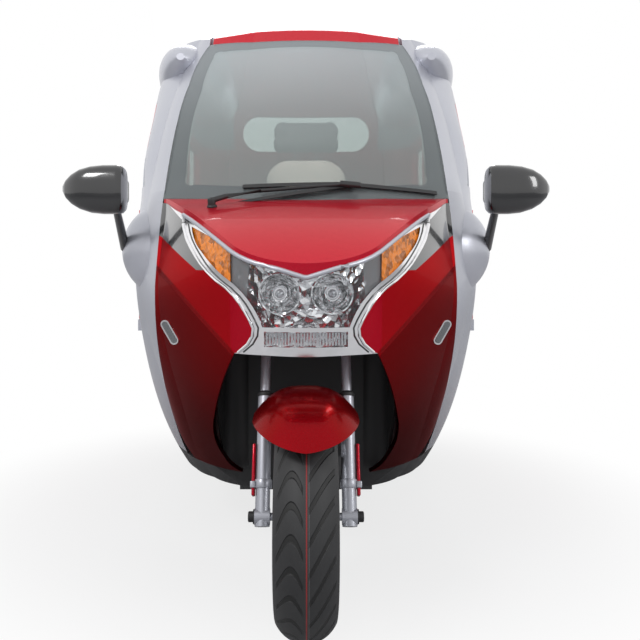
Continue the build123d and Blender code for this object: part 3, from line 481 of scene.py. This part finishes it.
DRESS = {
    Finish.DEEP_RED: "front_fairings",
    Finish.RED: "hood roof_panel rear_quarters tail_panel door_left door_right",
    Finish.GUARD_RED: "front_mudguard",
    Finish.SILVER: "front_quarters a_pillars roof_rails fork",
    Finish.CHROME: "lamp_bezel",
    Finish.GLOSS_BLACK: "lamp_trims mirror_housings",
    Finish.BLACK: "floor_pan wheel_arch_liner wiper rear_bumper plate_holder seat_base rear_tub",
    Finish.GREY: "dashboard",
    Finish.RUBBER: "windshield_frame",
    Finish.FRAME_PAINT: "chassis_frame rear_axle leaf_springs brake_caliper handlebar",
    Finish.SCREEN: "windshield",
    Finish.WINDOW: "fixed_glass door_glass_left door_glass_right",
    Finish.LENS: "headlamp_lens",
    Finish.AMBER: "turn_lenses",
    Finish.TAIL_RED: "tail_lamps",
    Finish.REFLECTOR: "lamp_reflector",
    Finish.CLOTH: "driver_cushion driver_back rear_bench",
    Finish.MIRROR: "mirror_glass",
    Finish.FRONT_TREAD: "front_tyre",
    Finish.LEFT_TREAD: "rear_tyre_left",
    Finish.RIGHT_TREAD: "rear_tyre_right",
    Finish.ALLOY: "front_rim rear_rim_left rear_rim_right",
    Finish.STEEL: "front_brake_disc",
}


def lift_seal(out_mm: float = 0.8) -> None:
    """Let the screen's seal stand just proud of the glass."""
    lift = NODES["windshield_frame"].modifiers.new("lift", "DISPLACE")
    lift.strength, lift.mid_level = out_mm * MM, 0.0


def dress_nodes() -> None:
    """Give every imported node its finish."""
    for finish, names in DRESS.items():
        for name in names.split():
            mesh = NODES[name].data
            mesh.materials.clear()
            mesh.materials.append(finish.material())
        LOG.info("%s on %s", finish.name, names)


def in_scene(name: str, data: bpy.types.ID) -> bpy.types.Object:
    """Link a new object.

    Args:
        name: its name.
        data: the mesh, lamp or camera that it shows.

    Returns:
        The object.
    """
    made = bpy.data.objects.new(name, data)
    bpy.context.scene.collection.objects.link(made)
    return made


def made_of(form: Form, name: str) -> bpy.types.Object:
    """Turn a form into an object.

    Args:
        form: the form, which is used up.
        name: the object's name.

    Returns:
        The object.
    """
    mesh = bpy.data.meshes.new(name)
    form.to_mesh(mesh)
    form.free()
    return in_scene(name, mesh)


def piece(form: Form, name: str, finish: Finish, body: str = "body",
          smooth: float = 0.6) -> bpy.types.Object:
    """Turn a finished form into a piece that rides on a body.

    Args:
        form: the form, which is used up.
        name: the piece's name.
        finish: what it is made of.
        body: the body that carries it.
        smooth: edges sharper than this angle, in radians, stay sharp.

    Returns:
        The piece.
    """
    bmesh.ops.recalc_face_normals(form, faces=form.faces)
    for face in form.faces:
        face.smooth = True
    for edge in form.edges:
        edge.smooth = len(edge.link_faces) != 2 or edge.calc_face_angle(0.0) < smooth
    made = made_of(form, name)
    made.data.materials.append(finish.material())
    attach(made, body)
    return made


def round_turn(count: int) -> list[float]:
    """Even angles of a full turn, in radians."""
    return [2 * math.pi * index / count for index in range(count)]


def grid_along(axis: Vector, origin: Vector, aside: Vector | None = None) -> Matrix:
    """Place whose local Z runs along an axis.

    Args:
        axis: direction of local Z.
        origin: where local zero lies.
        aside: direction near local X, if it matters.

    Returns:
        The place as a matrix.
    """
    out = axis.normalized()
    if aside is None:
        aside = Vector((1, 0, 0)) if abs(out.x) < 0.9 else Vector((0, 0, 1))
    across = (aside - out * aside.dot(out)).normalized()
    turn = Matrix((across, out.cross(across), out)).transposed()
    return Matrix.Translation(origin) @ turn.to_4x4()


def add_turned(form: Form, profile: Sequence[Pair], place: Matrix, steps: int = 32) -> None:
    """Spin a (radius, height) profile about local Z.

    Args:
        form: the form that gets the solid.
        profile: points from the axis at the foot to the axis at the top, in mm.
        place: where local zero lies and how it is turned.
        steps: divisions of the full turn.
    """
    before = set(form.verts)
    corners = [form.verts.new((r * MM, 0.0, h * MM)) for r, h in profile]
    edges = [form.edges.new(pair) for pair in zip(corners, corners[1:])]
    bmesh.ops.spin(form, geom=corners + edges, cent=(0, 0, 0), axis=(0, 0, 1), angle=2 * math.pi,
                   steps=steps, use_merge=True, use_duplicate=False)
    bmesh.ops.remove_doubles(form, verts=[v for v in form.verts if v not in before], dist=1e-6)
    bmesh.ops.transform(form, matrix=place, verts=[v for v in form.verts if v not in before])


def add_block(form: Form, size: Triple, place: Matrix, round_mm: float) -> None:
    """Add a box with rounded edges.

    Args:
        form: the form that gets the box.
        size: its size in mm.
        place: where its middle lies and how it is turned.
        round_mm: radius of its edges in mm.
    """
    scale = Matrix.Diagonal((size[0] * MM, size[1] * MM, size[2] * MM, 1.0))
    made = bmesh.ops.create_cube(form, size=1.0, matrix=scale)["verts"]
    edges = list({edge for vert in made for edge in vert.link_edges})
    result = bmesh.ops.bevel(form, geom=edges, offset=round_mm * MM, offset_type="OFFSET", segments=3,
                             profile=0.5, affect="EDGES", material=-1)
    verts = {vert for face in result["faces"] for vert in face.verts}
    verts |= {vert for vert in made if vert.is_valid}
    bmesh.ops.transform(form, matrix=place, verts=list(verts))


def add_loft(form: Form, rings: list[list[Vector]]) -> None:
    """Join rings of equal length into a closed form.

    Args:
        form: the form that gets the solid.
        rings: the rings, in order.
    """
    rows = [[form.verts.new(spot) for spot in ring] for ring in rings]
    count = len(rows[0])
    for low, high in zip(rows, rows[1:]):
        for k in range(count):
            form.faces.new((low[k], low[(k + 1) % count], high[(k + 1) % count], high[k]))
    form.faces.new(rows[0][::-1])
    form.faces.new(rows[-1])


def add_tube(form: Form, points: list[Vector], radii: Sequence[float], sides: int) -> None:
    """Add a closed tube of changing radius along points.

    Args:
        form: the form that gets the tube.
        points: its middle line in metres.
        radii: its radius at each point in mm.
        sides: divisions round it.
    """
    rings = []
    for index, point in enumerate(points):
        before, after = points[max(0, index - 1)], points[min(len(points) - 1, index + 1)]
        place = grid_along(after - before, point)
        spots = [Vector((math.cos(a), math.sin(a), 0)) * radii[index] * MM for a in round_turn(sides)]
        rings.append([place @ spot for spot in spots])
    add_loft(form, rings)


def on_side(side: int, place: Vector | Triple) -> Vector:
    """A place, or its twin across the middle plane where the side is -1."""
    return Vector((side * place[0], place[1], place[2]))


class Skin:
    """The outside of some nodes, to set pieces on."""

    def __init__(self, *names: str) -> None:
        """Gather the nodes' faces.

        Args:
            names: the nodes.
        """
        points, faces, self.owners = [], [], []
        for name in names:
            mesh = NODES[name].data
            first = len(points)
            points += [vert.co.copy() for vert in mesh.vertices]
            faces += [[first + index for index in face.vertices] for face in mesh.polygons]
            self.owners += [name] * len(mesh.polygons)
        self.tree = BVHTree.FromPolygons(points, faces)

    def edge(self, names: tuple[str, ...], inside: Pair, outside: Pair) -> Pair:
        """Pixel where the view leaves some nodes.

        Args:
            names: the nodes.
            inside: a pixel that shows one of them.
            outside: a pixel that doesn't.

        Returns:
            The last pixel that still shows them.
        """
        for _ in range(12):
            middle = tuple((a + b) / 2 for a, b in zip(inside, outside))
            _, _, index, _ = self.tree.ray_cast(EYE, sight(*middle))
            if index is not None and self.owners[index] in names:
                inside = middle
            else:
                outside = middle
        return inside

    def seen(self, x_px: float, y_px: float) -> tuple[Vector, Vector]:
        """Point and outward direction where the line of sight of a pixel meets the skin."""
        return self.along(EYE, sight(x_px, y_px))

    def along(self, start: Vector, aim: Vector) -> tuple[Vector, Vector]:
        """Point and outward direction where a ray meets the skin.

        Args:
            start: where the ray starts.
            aim: its direction.

        Returns:
            The point and the direction.
        """
        point, normal, _, _ = self.tree.ray_cast(start, aim)
        if point is None:
            raise ValueError(f"no skin from {tuple(start)} along {tuple(aim)}")
        return point, normal if normal.dot(aim) < 0 else -normal


@dataclass
class Lamps:
    """Bulbs and flutes of the front lamps."""

    bulb_x: float = 54.0
    bulb_z: float = 702.0
    clear: float = 0.1
    flute_pitch: float = 6.5
    flute_half: float = 82.0
    flute_ends: Pair = (595.0, 621.0)
    flute_r: float = 2.6
    flute_back: float = 10.5
    ring: tuple = ((0, -2), (15, -2), (17, 2), (15.5, 5), (13, 4), (12, 1), (0, 1))
    dome: tuple = ((0, 0.5), (9.0, 0.5), (9.5, 4), (7.5, 9), (4, 12), (0, 13))

    def bulbs(self) -> None:
        """Ringed bulb shields in the lamp bowls."""
        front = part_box("lamp_reflector")[0].y
        skin = Skin("lamp_reflector")
        rings, glass = bmesh.new(), bmesh.new()
        for side in (-1, 1):
            start = Vector((side * self.bulb_x * MM, front - self.clear, self.bulb_z * MM))
            hit, _ = skin.along(start, BACKWARD)
            add_turned(rings, self.ring, grid_along(-BACKWARD, hit))
            add_turned(glass, self.dome, grid_along(-BACKWARD, hit))
        piece(rings, "bulb_rings", Finish.CHROME)
        piece(glass, "lamp_bulbs", Finish.BULB)

    def flutes(self) -> None:
        """Upright flutes behind the position lamp's lens."""
        skin = Skin("headlamp_lens")
        form = bmesh.new()
        low, high = self.flute_ends
        count = int(2 * self.flute_half / self.flute_pitch) + 1
        for index in range(count):
            x = (index - (count - 1) / 2) * self.flute_pitch * MM
            hit, _ = skin.along(Vector((x, EYE.y, (low + high) / 2 * MM)), BACKWARD)
            ends = [Vector((x, hit.y + self.flute_back * MM, z * MM)) for z in (low, high)]
            add_tube(form, ends, [self.flute_r] * 2, 10)
        piece(form, "position_flutes", Finish.CHROME)

    def build(self) -> None:
        """Make the lamp pieces."""
        self.bulbs()
        self.flutes()


@dataclass
class Trims:
    """Bright line under the hood and the two lines round the lamps."""

    hood_inside_y: float = 206.0
    hood_below_y: float = 285.0
    side_inside_x: float = 172.0
    lens_x: float = 300.0
    inset_px: float = 6.0
    step_px: int = 8
    hood_r: float = 5.0
    hood_drop: float = 4.5
    bright_r: float = 3.4
    dark_r: float = 2.0

    def hood_line(self, skin: Skin) -> None:
        """Make the silver band that follows the hood's lower edge.

        Args:
            skin: what it lies on.
        """
        points = []
        for x_px in range(184, 307, self.step_px):
            spot = skin.edge(("hood",), (x_px, self.hood_inside_y), (x_px, self.hood_below_y))
            point, out = skin.seen(spot[0], spot[1] - 0.5)
            points.append(point + out * MM - Vector((0, 0, self.hood_drop * MM)))
        points += [on_side(-1, point) for point in reversed(points)]
        form = bmesh.new()
        add_tube(form, points, [self.hood_r] * len(points), 12)
        piece(form, "hood_line", Finish.SILVER)

    def lamp_lines(self, skin: Skin) -> None:
        """Make the bright outer line and the dark inner line of the lamp surround.

        Args:
            skin: what they lie on.
        """
        sides = ("front_fairings", "lamp_trims", "front_quarters")
        bright, dark = [], []
        for y_px in range(224, 353, self.step_px):
            spot = skin.edge(sides, (self.side_inside_x, y_px), (self.lens_x, y_px))
            point, out = skin.seen(spot[0] + 1.0, y_px)
            bright.append(point + out * MM)
            dark.append(skin.seen(spot[0] + self.inset_px, y_px)[0])
        for name, finish, points, radius, slot in (
                ("lamp_bright_lines", Finish.CHROME, bright, self.bright_r, "chrome"),
                ("lamp_dark_lines", Finish.GLOSS_BLACK, dark, self.dark_r, "gloss_black")):
            form = bmesh.new()
            for line in (points, [on_side(-1, point) for point in points]):
                add_tube(form, line, [radius] * len(line), 10)
            piece(form, name, finish)

    def build(self) -> None:
        """Make the trims."""
        skin = Skin("hood", "lamp_bezel", "front_fairings", "lamp_trims", "front_quarters", "headlamp_lens",
                    "turn_lenses")
        self.hood_line(skin)
        self.lamp_lines(skin)


@dataclass
class Badges:
    """Blank oval badges on the front sides."""

    high_px: Pair = (163.5, 320.5)
    low_px: Pair = (177.0, 344.0)
    width_px: float = 8.5

    def oval(self, form: Form, skin: Skin, grow: float, low: float, high: float) -> None:
        """Add a long oval plate to each side, as it shows from the eye.

        Args:
            form: the form that gets the plates.
            skin: what the plates lie on.
            grow: how much wider than the badge it is, in pixels.
            low: underside above the skin in mm.
            high: face above the skin in mm.
        """
        top, bottom = Vector(self.high_px), Vector(self.low_px)
        along = (bottom - top).normalized()
        across = Vector((-along.y, along.x))
        radius = self.width_px / 2 + grow
        ends = (bottom - along * self.width_px / 2, top + along * self.width_px / 2)
        rim = []
        for sign, end in zip((1, -1), ends):
            for step in range(11):
                turn = math.pi * step / 10
                rim.append(end + (across * math.cos(turn) + along * math.sin(turn)) * radius * sign)
        skins = [skin.seen(*spot) for spot in rim]
        for side in (1, -1):
            add_loft(form, [[on_side(side, point + out * level * MM) for point, out in skins]
                            for level in (low, high)])

    def build(self) -> None:
        """Make both badges."""
        skin = Skin("front_fairings", "front_quarters")
        rims, faces = bmesh.new(), bmesh.new()
        self.oval(rims, skin, 0.0, -2.0, 2.4)
        self.oval(faces, skin, -1.5, 1.0, 3.0)
        piece(rims, "badge_rims", Finish.CHROME)
        piece(faces, "badge_faces", Finish.GREY)


@dataclass
class Mirrors:
    """Teardrop mirror shells on short arms."""

    middle_y: float = -0.5525
    depth: float = 39.0
    middle_z: float = 0.957
    stations: tuple[Triple, ...] = (
        (0.466, 0.50, 0.0), (0.468, 0.86, 0.0), (0.474, 0.97, 0.0), (0.486, 1.0, 0.0), (0.520, 1.0, 0.0),
        (0.552, 0.95, 0.0), (0.580, 0.82, 0.5), (0.602, 0.62, 1.0), (0.618, 0.38, 1.5), (0.6265, 0.14, 2.0))
    height: float = 63.0
    arm_foot: Triple = (0.505, -0.398, 0.812)
    arm_head: Triple = (0.492, -0.540, 0.908)

    def ring(self, side: int, x: float, share: float, rise: float) -> list[Vector]:
        """Rounded section of a shell.

        Args:
            side: 1 on the left, -1 on the right.
            x: its distance from the middle plane in metres.
            share: its size as a share of the widest section.
            rise: how far it lies above the shell's middle, in mm.

        Returns:
            Its points.
        """
        spots = []
        for turn in round_turn(28):
            cos, sin = math.cos(turn), math.sin(turn)
            flat = min(self.depth * MM, self.depth * MM * (0.25 + share))
            y = self.middle_y + math.copysign(abs(cos) ** 0.7, cos) * flat * min(1.0, share + 0.1)
            z = self.middle_z + rise * MM + math.copysign(abs(sin) ** 0.8, sin) * self.height * MM * share
            spots.append(Vector((side * x, y, z)))
        return spots

    def build(self) -> None:
        """Make both shells and arms."""
        form = bmesh.new()
        for side in (-1, 1):
            add_loft(form, [self.ring(side, *station) for station in self.stations])
            ends = [on_side(side, place) for place in (self.arm_foot, self.arm_head)]
            add_tube(form, ends, [13.0, 10.0], 18)
        made = piece(form, "mirror_shells", Finish.GLOSS_BLACK, smooth=0.9)
        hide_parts("mirror_housings")


@dataclass
class Shoulders:
    """Pale rounded pods on the shoulders of the roof."""

    middle: Triple = (0.400, 0.34, 1.430)
    half: Triple = (0.135, 0.46, 0.115)
    steps: int = 24

    def build(self) -> None:
        """Make both pods."""
        form = bmesh.new()
        for side in (-1, 1):
            rings = []
            for step in range(1, self.steps):
                turn = math.pi * step / self.steps
                y = self.middle[1] - math.cos(turn) * self.half[1]
                share = math.sin(turn) ** 1.15
                rings.append([on_side(side, (self.middle[0] + math.cos(a) * self.half[0] * share, y,
                                             self.middle[2] + math.sin(a) * self.half[2] * share))
                              for a in round_turn(32)])
            add_loft(form, rings)
        piece(form, "shoulder_pods", Finish.SILVER)


@dataclass
class ForkTrim:
    """Axle nuts, leg clamps and side plates of the front fork."""

    leg_x: float = 91.0
    nut_x: float = 107.0
    rake: float = 24.0
    nut: tuple = ((0, 0), (15, 0), (15, 3), (11, 3.5), (11, 12), (9.5, 13.5), (0, 13.5))
    cuff: tuple = ((0, -9), (18, -9), (19, -7), (19, 7), (18, 9), (0, 9))
    collar: tuple = ((0, -4), (17, -4), (17, 3), (12.5, 8), (0, 8))
    heights: Triple = (296.0, 471.0, 322.0)
    lug: Triple = (12.0, 20.0, 14.0)
    lug_at: Triple = (0.021, -0.004, 0.0)
    plate: Triple = (7.0, 24.0, 108.0)
    plate_at: Triple = (0.0205, 0.004, 0.0)

    def leg_point(self, side: int, height: float) -> Vector:
        """Point of a leg's middle line at a height in mm above the ground."""
        run = (height * MM - TYRE_R) * math.tan(math.radians(self.rake))
        return Vector((side * self.leg_x * MM, FRONT_AXLE.y + run, height * MM))

    def build(self) -> None:
        """Make the fork's small pieces."""
        up = self.leg_point(1, 500.0) - self.leg_point(1, 400.0)
        nuts, clamps, plates, seals = bmesh.new(), bmesh.new(), bmesh.new(), bmesh.new()
        for side in (-1, 1):
            end = Vector((side * self.nut_x * MM, FRONT_AXLE.y, TYRE_R))
            add_turned(nuts, self.nut, grid_along(Vector((side, 0, 0)), end), 24)
            clamp, seal, plate = (self.leg_point(side, z) for z in self.heights)
            add_turned(clamps, self.cuff, grid_along(up, clamp))
            add_block(clamps, self.lug, grid_along(up, clamp + on_side(side, self.lug_at)), 2.0)
            add_turned(seals, self.collar, grid_along(up, seal))
            add_block(plates, self.plate, grid_along(up, plate + on_side(side, self.plate_at)), 2.5)
        piece(nuts, "axle_nuts", Finish.BLACK, "steering")
        piece(clamps, "leg_clamps", Finish.SILVER, "steering")
        piece(seals, "leg_seals", Finish.BLACK, "steering")
        piece(plates, "leg_plates", Finish.RED, "steering")


@dataclass
class Mudguard:
    """Smooth shield over the front tyre with a pointed front lip."""

    crown: float = 270.0
    edge: float = 214.0
    half: float = 108.0
    wall: float = 3.0
    lip_low: float = 418.0
    lip_rise: float = 26.0
    rear: float = 48.0
    columns: int = 40
    rows: int = 30

    def spot(self, column: int, row: int, inset: float) -> Vector:
        """Point of the shell.

        Args:
            column: step across the tyre.
            row: step from the front lip to the rear.
            inset: distance inside the outer face in mm.

        Returns:
            The point in metres.
        """
        share = 2 * column / self.columns - 1
        radius = self.crown - (self.crown - self.edge) * abs(share) ** 2.8 - inset
        low = self.lip_low + self.lip_rise * abs(share) ** 1.4
        front = math.acos((low - TYRE_R / MM) / radius)
        turn = front - (front + math.radians(self.rear)) * row / self.rows
        x = share * (self.half - inset * abs(share))
        ahead, above = math.sin(turn) * radius, math.cos(turn) * radius
        return Vector((x * MM, FRONT_AXLE.y - ahead * MM, TYRE_R + above * MM))

    def build(self) -> None:
        """Make the shield."""
        form = bmesh.new()
        outer, inner = ([[form.verts.new(self.spot(i, j, inset)) for j in range(self.rows + 1)]
                         for i in range(self.columns + 1)] for inset in (0.0, self.wall))
        for grid in (outer, inner):
            for i in range(self.columns):
                for j in range(self.rows):
                    form.faces.new((grid[i][j], grid[i + 1][j], grid[i + 1][j + 1], grid[i][j + 1]))
        for i in range(self.columns):
            for j in (0, self.rows):
                form.faces.new((outer[i][j], outer[i + 1][j], inner[i + 1][j], inner[i][j]))
        for j in range(self.rows):
            for i in (0, self.columns):
                form.faces.new((outer[i][j], outer[i][j + 1], inner[i][j + 1], inner[i][j]))
        made = piece(form, "mudguard_shield", Finish.GUARD_RED, "steering")
        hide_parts("front_mudguard")


@dataclass
class WiperArm:
    """Arm that runs from the hood to the wiper's blade."""

    pivot_px: Pair = (212.0, 207.0)
    knee_px: Pair = (262.0, 195.0)
    hold_px: Pair = (350.0, 186.0)
    radii: tuple[float, ...] = (7.0, 6.0, 4.6, 3.4)
    lifts: tuple[float, ...] = (0.016, 0.018, 0.014, 0.007)
    post: tuple = ((0, -3), (12, -3), (12, 3), (9.5, 6), (9.5, 18), (8, 21), (0, 21))
    holder: Triple = (52.0, 15.0, 9.0)

    def build(self) -> None:
        """Make the arm, its pivot and its blade holder."""
        skin = Skin("hood", "windshield", "wiper")
        pivot, out = skin.seen(*self.pivot_px)
        knee, knee_out = skin.seen(*self.knee_px)
        hold, hold_out = skin.seen(*self.hold_px)
        arm = bmesh.new()
        rise, bend, dip, end = self.lifts
        add_tube(arm, [pivot + out * rise, pivot + out * bend + (knee - pivot) * 0.3, knee + knee_out * dip,
                       hold + hold_out * end], self.radii, 14)
        add_turned(arm, self.post, grid_along(out, pivot))
        add_block(arm, self.holder, grid_along(hold_out, hold + hold_out * 0.006, Vector((1, 0, 0))), 2.5)
        piece(arm, "wiper_arm", Finish.BLACK)


@dataclass
class WheelTrim:
    """Hub caps and wheel nuts of the rear wheels."""

    nuts: int = 5
    circle: float = 24.0
    hub_out: float = 30.0
    dish: tuple = ((13, -1), (17, -1), (18, 4), (17, 6), (13, 6), (13, -1))
    nut: tuple = ((0, -1), (5.5, -1), (5.5, 5), (4.5, 6), (0, 6))

    def build(self) -> None:
        """Make the trims."""
        for side, name in ((1, "left"), (-1, "right")):
            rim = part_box(f"rear_rim_{name}")
            out = Vector((side, 0, 0))
            hub = (rim[0] + rim[1]) / 2 + out * self.hub_out * MM
            body = f"rear_wheel_{name}"
            cap, bolts = bmesh.new(), bmesh.new()
            add_turned(cap, self.dish, grid_along(out, hub))
            for turn in round_turn(self.nuts):
                spot = hub + Vector((0, math.cos(turn), math.sin(turn))) * self.circle * MM
                add_turned(bolts, self.nut, grid_along(out, spot), 6)
            piece(cap, f"hub_ring_{name}", Finish.CHROME, body)
            piece(bolts, f"wheel_nuts_{name}", Finish.STEEL, body, 0.3)


@dataclass
class Pad:
    """One stuffed pad grown from part of a packed soft solid."""

    name: str
    node: str
    finish: Finish
    cut: tuple[Vector, Vector] | None
    shrink: float
    cap: float
    voxel: float = 7.0
    stands_for: bool = True
    pressure: float = 4.0
    frames: int = 20

    def blank(self) -> bpy.types.Object:
        """Copy the solid, cut by the plane if there is one.

        Returns:
            The closed copy.
        """
        form = bmesh.new()
        form.from_mesh(NODES[self.node].data)
        bmesh.ops.remove_doubles(form, verts=form.verts, dist=2e-5)
        if self.cut:
            parts = list(form.verts) + list(form.edges) + list(form.faces)
            bmesh.ops.bisect_plane(form, geom=parts, plane_co=self.cut[0], plane_no=self.cut[1],
                                   clear_outer=True)
            rim = [edge for edge in form.edges if edge.is_boundary]
            bmesh.ops.holes_fill(form, edges=rim, sides=0)
        bmesh.ops.recalc_face_normals(form, faces=form.faces)
        return made_of(form, self.name)

    def bake(self, made: bpy.types.Object) -> None:
        """Apply an object's modifiers to its mesh.

        Args:
            made: the object.
        """
        seen = made.evaluated_get(bpy.context.evaluated_depsgraph_get())
        mesh = bpy.data.meshes.new_from_object(seen)
        made.modifiers.clear()
        made.data = mesh

    def swell(self, made: bpy.types.Object) -> None:
        """Blow the pad up as cloth, and cap how far each point goes.

        Args:
            made: the pad.
        """
        start = [vert.co.copy() for vert in made.data.vertices]
        cloth = made.modifiers.new("swell", "CLOTH")
        cloth.settings.use_pressure = True
        cloth.settings.uniform_pressure_force = self.pressure
        cloth.settings.effector_weights.gravity = 0.0
        for frame in range(1, self.frames + 1):
            bpy.context.scene.frame_set(frame)
        self.bake(made)
        bpy.context.scene.frame_set(1)
        for vert, before in zip(made.data.vertices, start):
            move = vert.co - before
            if move.length > self.cap * MM:
                vert.co = before + move.normalized() * self.cap * MM

    def build(self) -> None:
        """Make the pad."""
        made = self.blank()
        shrink = made.modifiers.new("shrink", "DISPLACE")
        shrink.strength, shrink.mid_level = -self.shrink * MM, 0.0
        mesh = made.modifiers.new("even", "REMESH")
        mesh.mode, mesh.voxel_size = "VOXEL", self.voxel * MM
        self.bake(made)
        self.swell(made)
        smooth = made.modifiers.new("smooth", "SUBSURF")
        smooth.levels = smooth.render_levels = 1
        self.bake(made)
        made.data.shade_smooth()
        made.data.materials.clear()
        made.data.materials.append(self.finish.material())
        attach(made, "body")
        if self.stands_for:
            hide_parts(self.node)
        LOG.info("%s has %d faces", self.name, len(made.data.polygons))


@dataclass
class Seats:
    """Driver's seat and rear bench as stuffed pads."""

    lean: float = 12.0
    foot_s: float = 1237.0
    foot_z: float = 565.6
    back_top: float = 657.0
    head_low: float = 681.0
    post_x: float = 45.0
    post_depth: float = 42.0
    post_ends: Pair = (640.0, 700.0)
    post_r: float = 6.0
    bench_top: float = 470.2

    def build(self) -> None:
        """Make the pads and the headrest's posts."""
        lean = math.radians(self.lean)
        up = Vector((0, math.sin(lean), math.cos(lean)))
        back = Vector((0, math.cos(lean), -math.sin(lean)))
        foot = Vector((0, FRONT_AXLE.y + self.foot_s * MM, self.foot_z * MM))
        neck, nape = foot + up * self.back_top * MM, foot + up * self.head_low * MM
        split, skyward = Vector((0, 0, self.bench_top * MM)), Vector((0, 0, 1))
        cloth, dark = Finish.CLOTH, Finish.DARK_CLOTH
        for pad in (
                Pad("driver_cushion_pad", "driver_cushion", cloth, None, 5.0, 10.0),
                Pad("driver_back_pad", "driver_back", cloth, (neck, up), 6.0, 12.0),
                Pad("headrest_pad", "driver_back", dark, (nape, -up), 5.0, 9.0, 6.0, False),
                Pad("bench_cushion_pad", "rear_bench", cloth, (split, skyward), 5.0, 9.0, 9.0),
                Pad("bench_back_pad", "rear_bench", cloth, (split, -skyward), 5.0, 9.0, 9.0, False)):
            pad.build()
        posts = bmesh.new()
        for side in (-1, 1):
            base = foot + back * self.post_depth * MM + Vector((side * self.post_x * MM, 0, 0))
            add_tube(posts, [base + up * end * MM for end in self.post_ends], [self.post_r] * 2, 20)
        piece(posts, "headrest_posts", Finish.CHROME)


@dataclass(frozen=True)
class SoftLamp:
    """One soft rectangular lamp, which glossy surfaces and glass show where it is mirrored."""

    name: str
    place: Triple
    aim: Triple
    size: Pair
    power: float
    mirrored: bool = True

    def build(self) -> None:
        """Hang the lamp."""
        data = bpy.data.lights.new(self.name, "AREA")
        data.shape = "RECTANGLE"
        data.size, data.size_y = self.size
        data.energy = self.power
        lamp = in_scene(self.name, data)
        lamp.location = self.place
        lamp.visible_glossy = lamp.visible_transmission = lamp.visible_camera = self.mirrored
        lamp.rotation_euler = (Vector(self.aim) - Vector(self.place)).to_track_quat("-Z", "Y").to_euler()


@dataclass
class Studio:
    """Camera, lamps, floor and sky."""

    sensor: float = 36.0
    sky_colour: Triple = (0.93, 0.95, 1.0)
    sky_strength: float = 0.6
    floor_half: float = 30.0
    lamps: tuple[SoftLamp, ...] = (
        SoftLamp("key", (-2.2, -3.2, 3.4), (0, -0.6, 0.8), (1.3, 0.9), 70.0),
        SoftLamp("fill", (3.2, -2.6, 2.2), (0, -0.4, 0.8), (0.9, 1.5), 34.0),
        SoftLamp("top", (0, 3.0, 3.2), (0, 0, 1.3), (2.4, 1.4), 50.0),
        SoftLamp("cabin", (0, 0.12, 1.4), (0, 0.55, 1.05), (0.4, 0.15), 2.6, False))

    def camera(self) -> None:
        """Place the level camera in front of the car."""
        data = bpy.data.cameras.new("view")
        data.sensor_width = self.sensor
        data.lens = self.sensor * FOCAL_PX / FRAME_PX
        data.shift_x = (FRAME_PX / 2 - CENTRE_PX) / FRAME_PX
        data.shift_y = (HORIZON_PX - FRAME_PX / 2) / FRAME_PX
        view = in_scene("view", data)
        view.location = EYE
        view.rotation_euler = (math.pi / 2, 0.0, 0.0)
        bpy.context.scene.camera = view

    def sky(self) -> None:
        """Even sky that shows white behind the car."""
        world = bpy.data.worlds.new("sky")
        bpy.context.scene.world = world
        world.use_nodes = True
        graph = Graph(world.node_tree)
        eye, mirror, pane = (graph.node("LightPath", {}, f"Is {kind} Ray")
                             for kind in ("Camera", "Glossy", "Transmission"))
        light = graph.node("Background", {"Color": self.sky_colour, "Strength": self.sky_strength})
        white = graph.node("Background", {"Color": (1.0, 1.0, 1.0)})
        graph.show(eye.most(mirror).most(pane), light, white, "World Output")

    def floor(self) -> None:
        """Pale floor that fades to white away from the car."""
        form = bmesh.new()
        bmesh.ops.create_grid(form, x_segments=1, y_segments=1, size=self.floor_half)
        floor = made_of(form, "floor")
        shader = Shader("floor_paper")
        shader.feed(Base_Color=shader.mix(shader.noise(1.5), (0.5, 0.5, 0.5), (0.56, 0.56, 0.56)))
        shader.feed(Roughness=shader.noise(3.0) * 0.1 + 0.7)
        across, along = shader.axis("X"), shader.axis("Y")
        reach = across * across + along * along
        glow = shader.node("Emission", {"Color": (1, 1, 1), "Strength": 1.0})
        eye = shader.node("LightPath", {}, "Is Camera Ray")
        fade = (reach.within(0.3, 1.8) * 0.22 + 0.78) * eye
        shader.show(fade, Socket(shader, shader.surface.outputs[0]), glow)
        floor.data.materials.append(shader.material)

    def build(self) -> None:
        """Set up the whole studio."""
        self.camera()
        for lamp in self.lamps:
            lamp.build()
        self.sky()
        self.floor()
        bpy.context.scene.view_settings.view_transform = "Standard"


def main() -> None:
    """Build the studio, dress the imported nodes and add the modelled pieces."""
    Studio().build()
    dress_nodes()
    lift_seal()
    for part in (Lamps(), Trims(), Badges(), ForkTrim(), Mudguard(), WiperArm(), Mirrors(), Shoulders(),
                 WheelTrim(), Seats()):
        part.build()
        LOG.info("%s made", type(part).__name__)


if __name__ == "__main__":
    logging.basicConfig(level=logging.INFO, format="%(message)s")
    main()
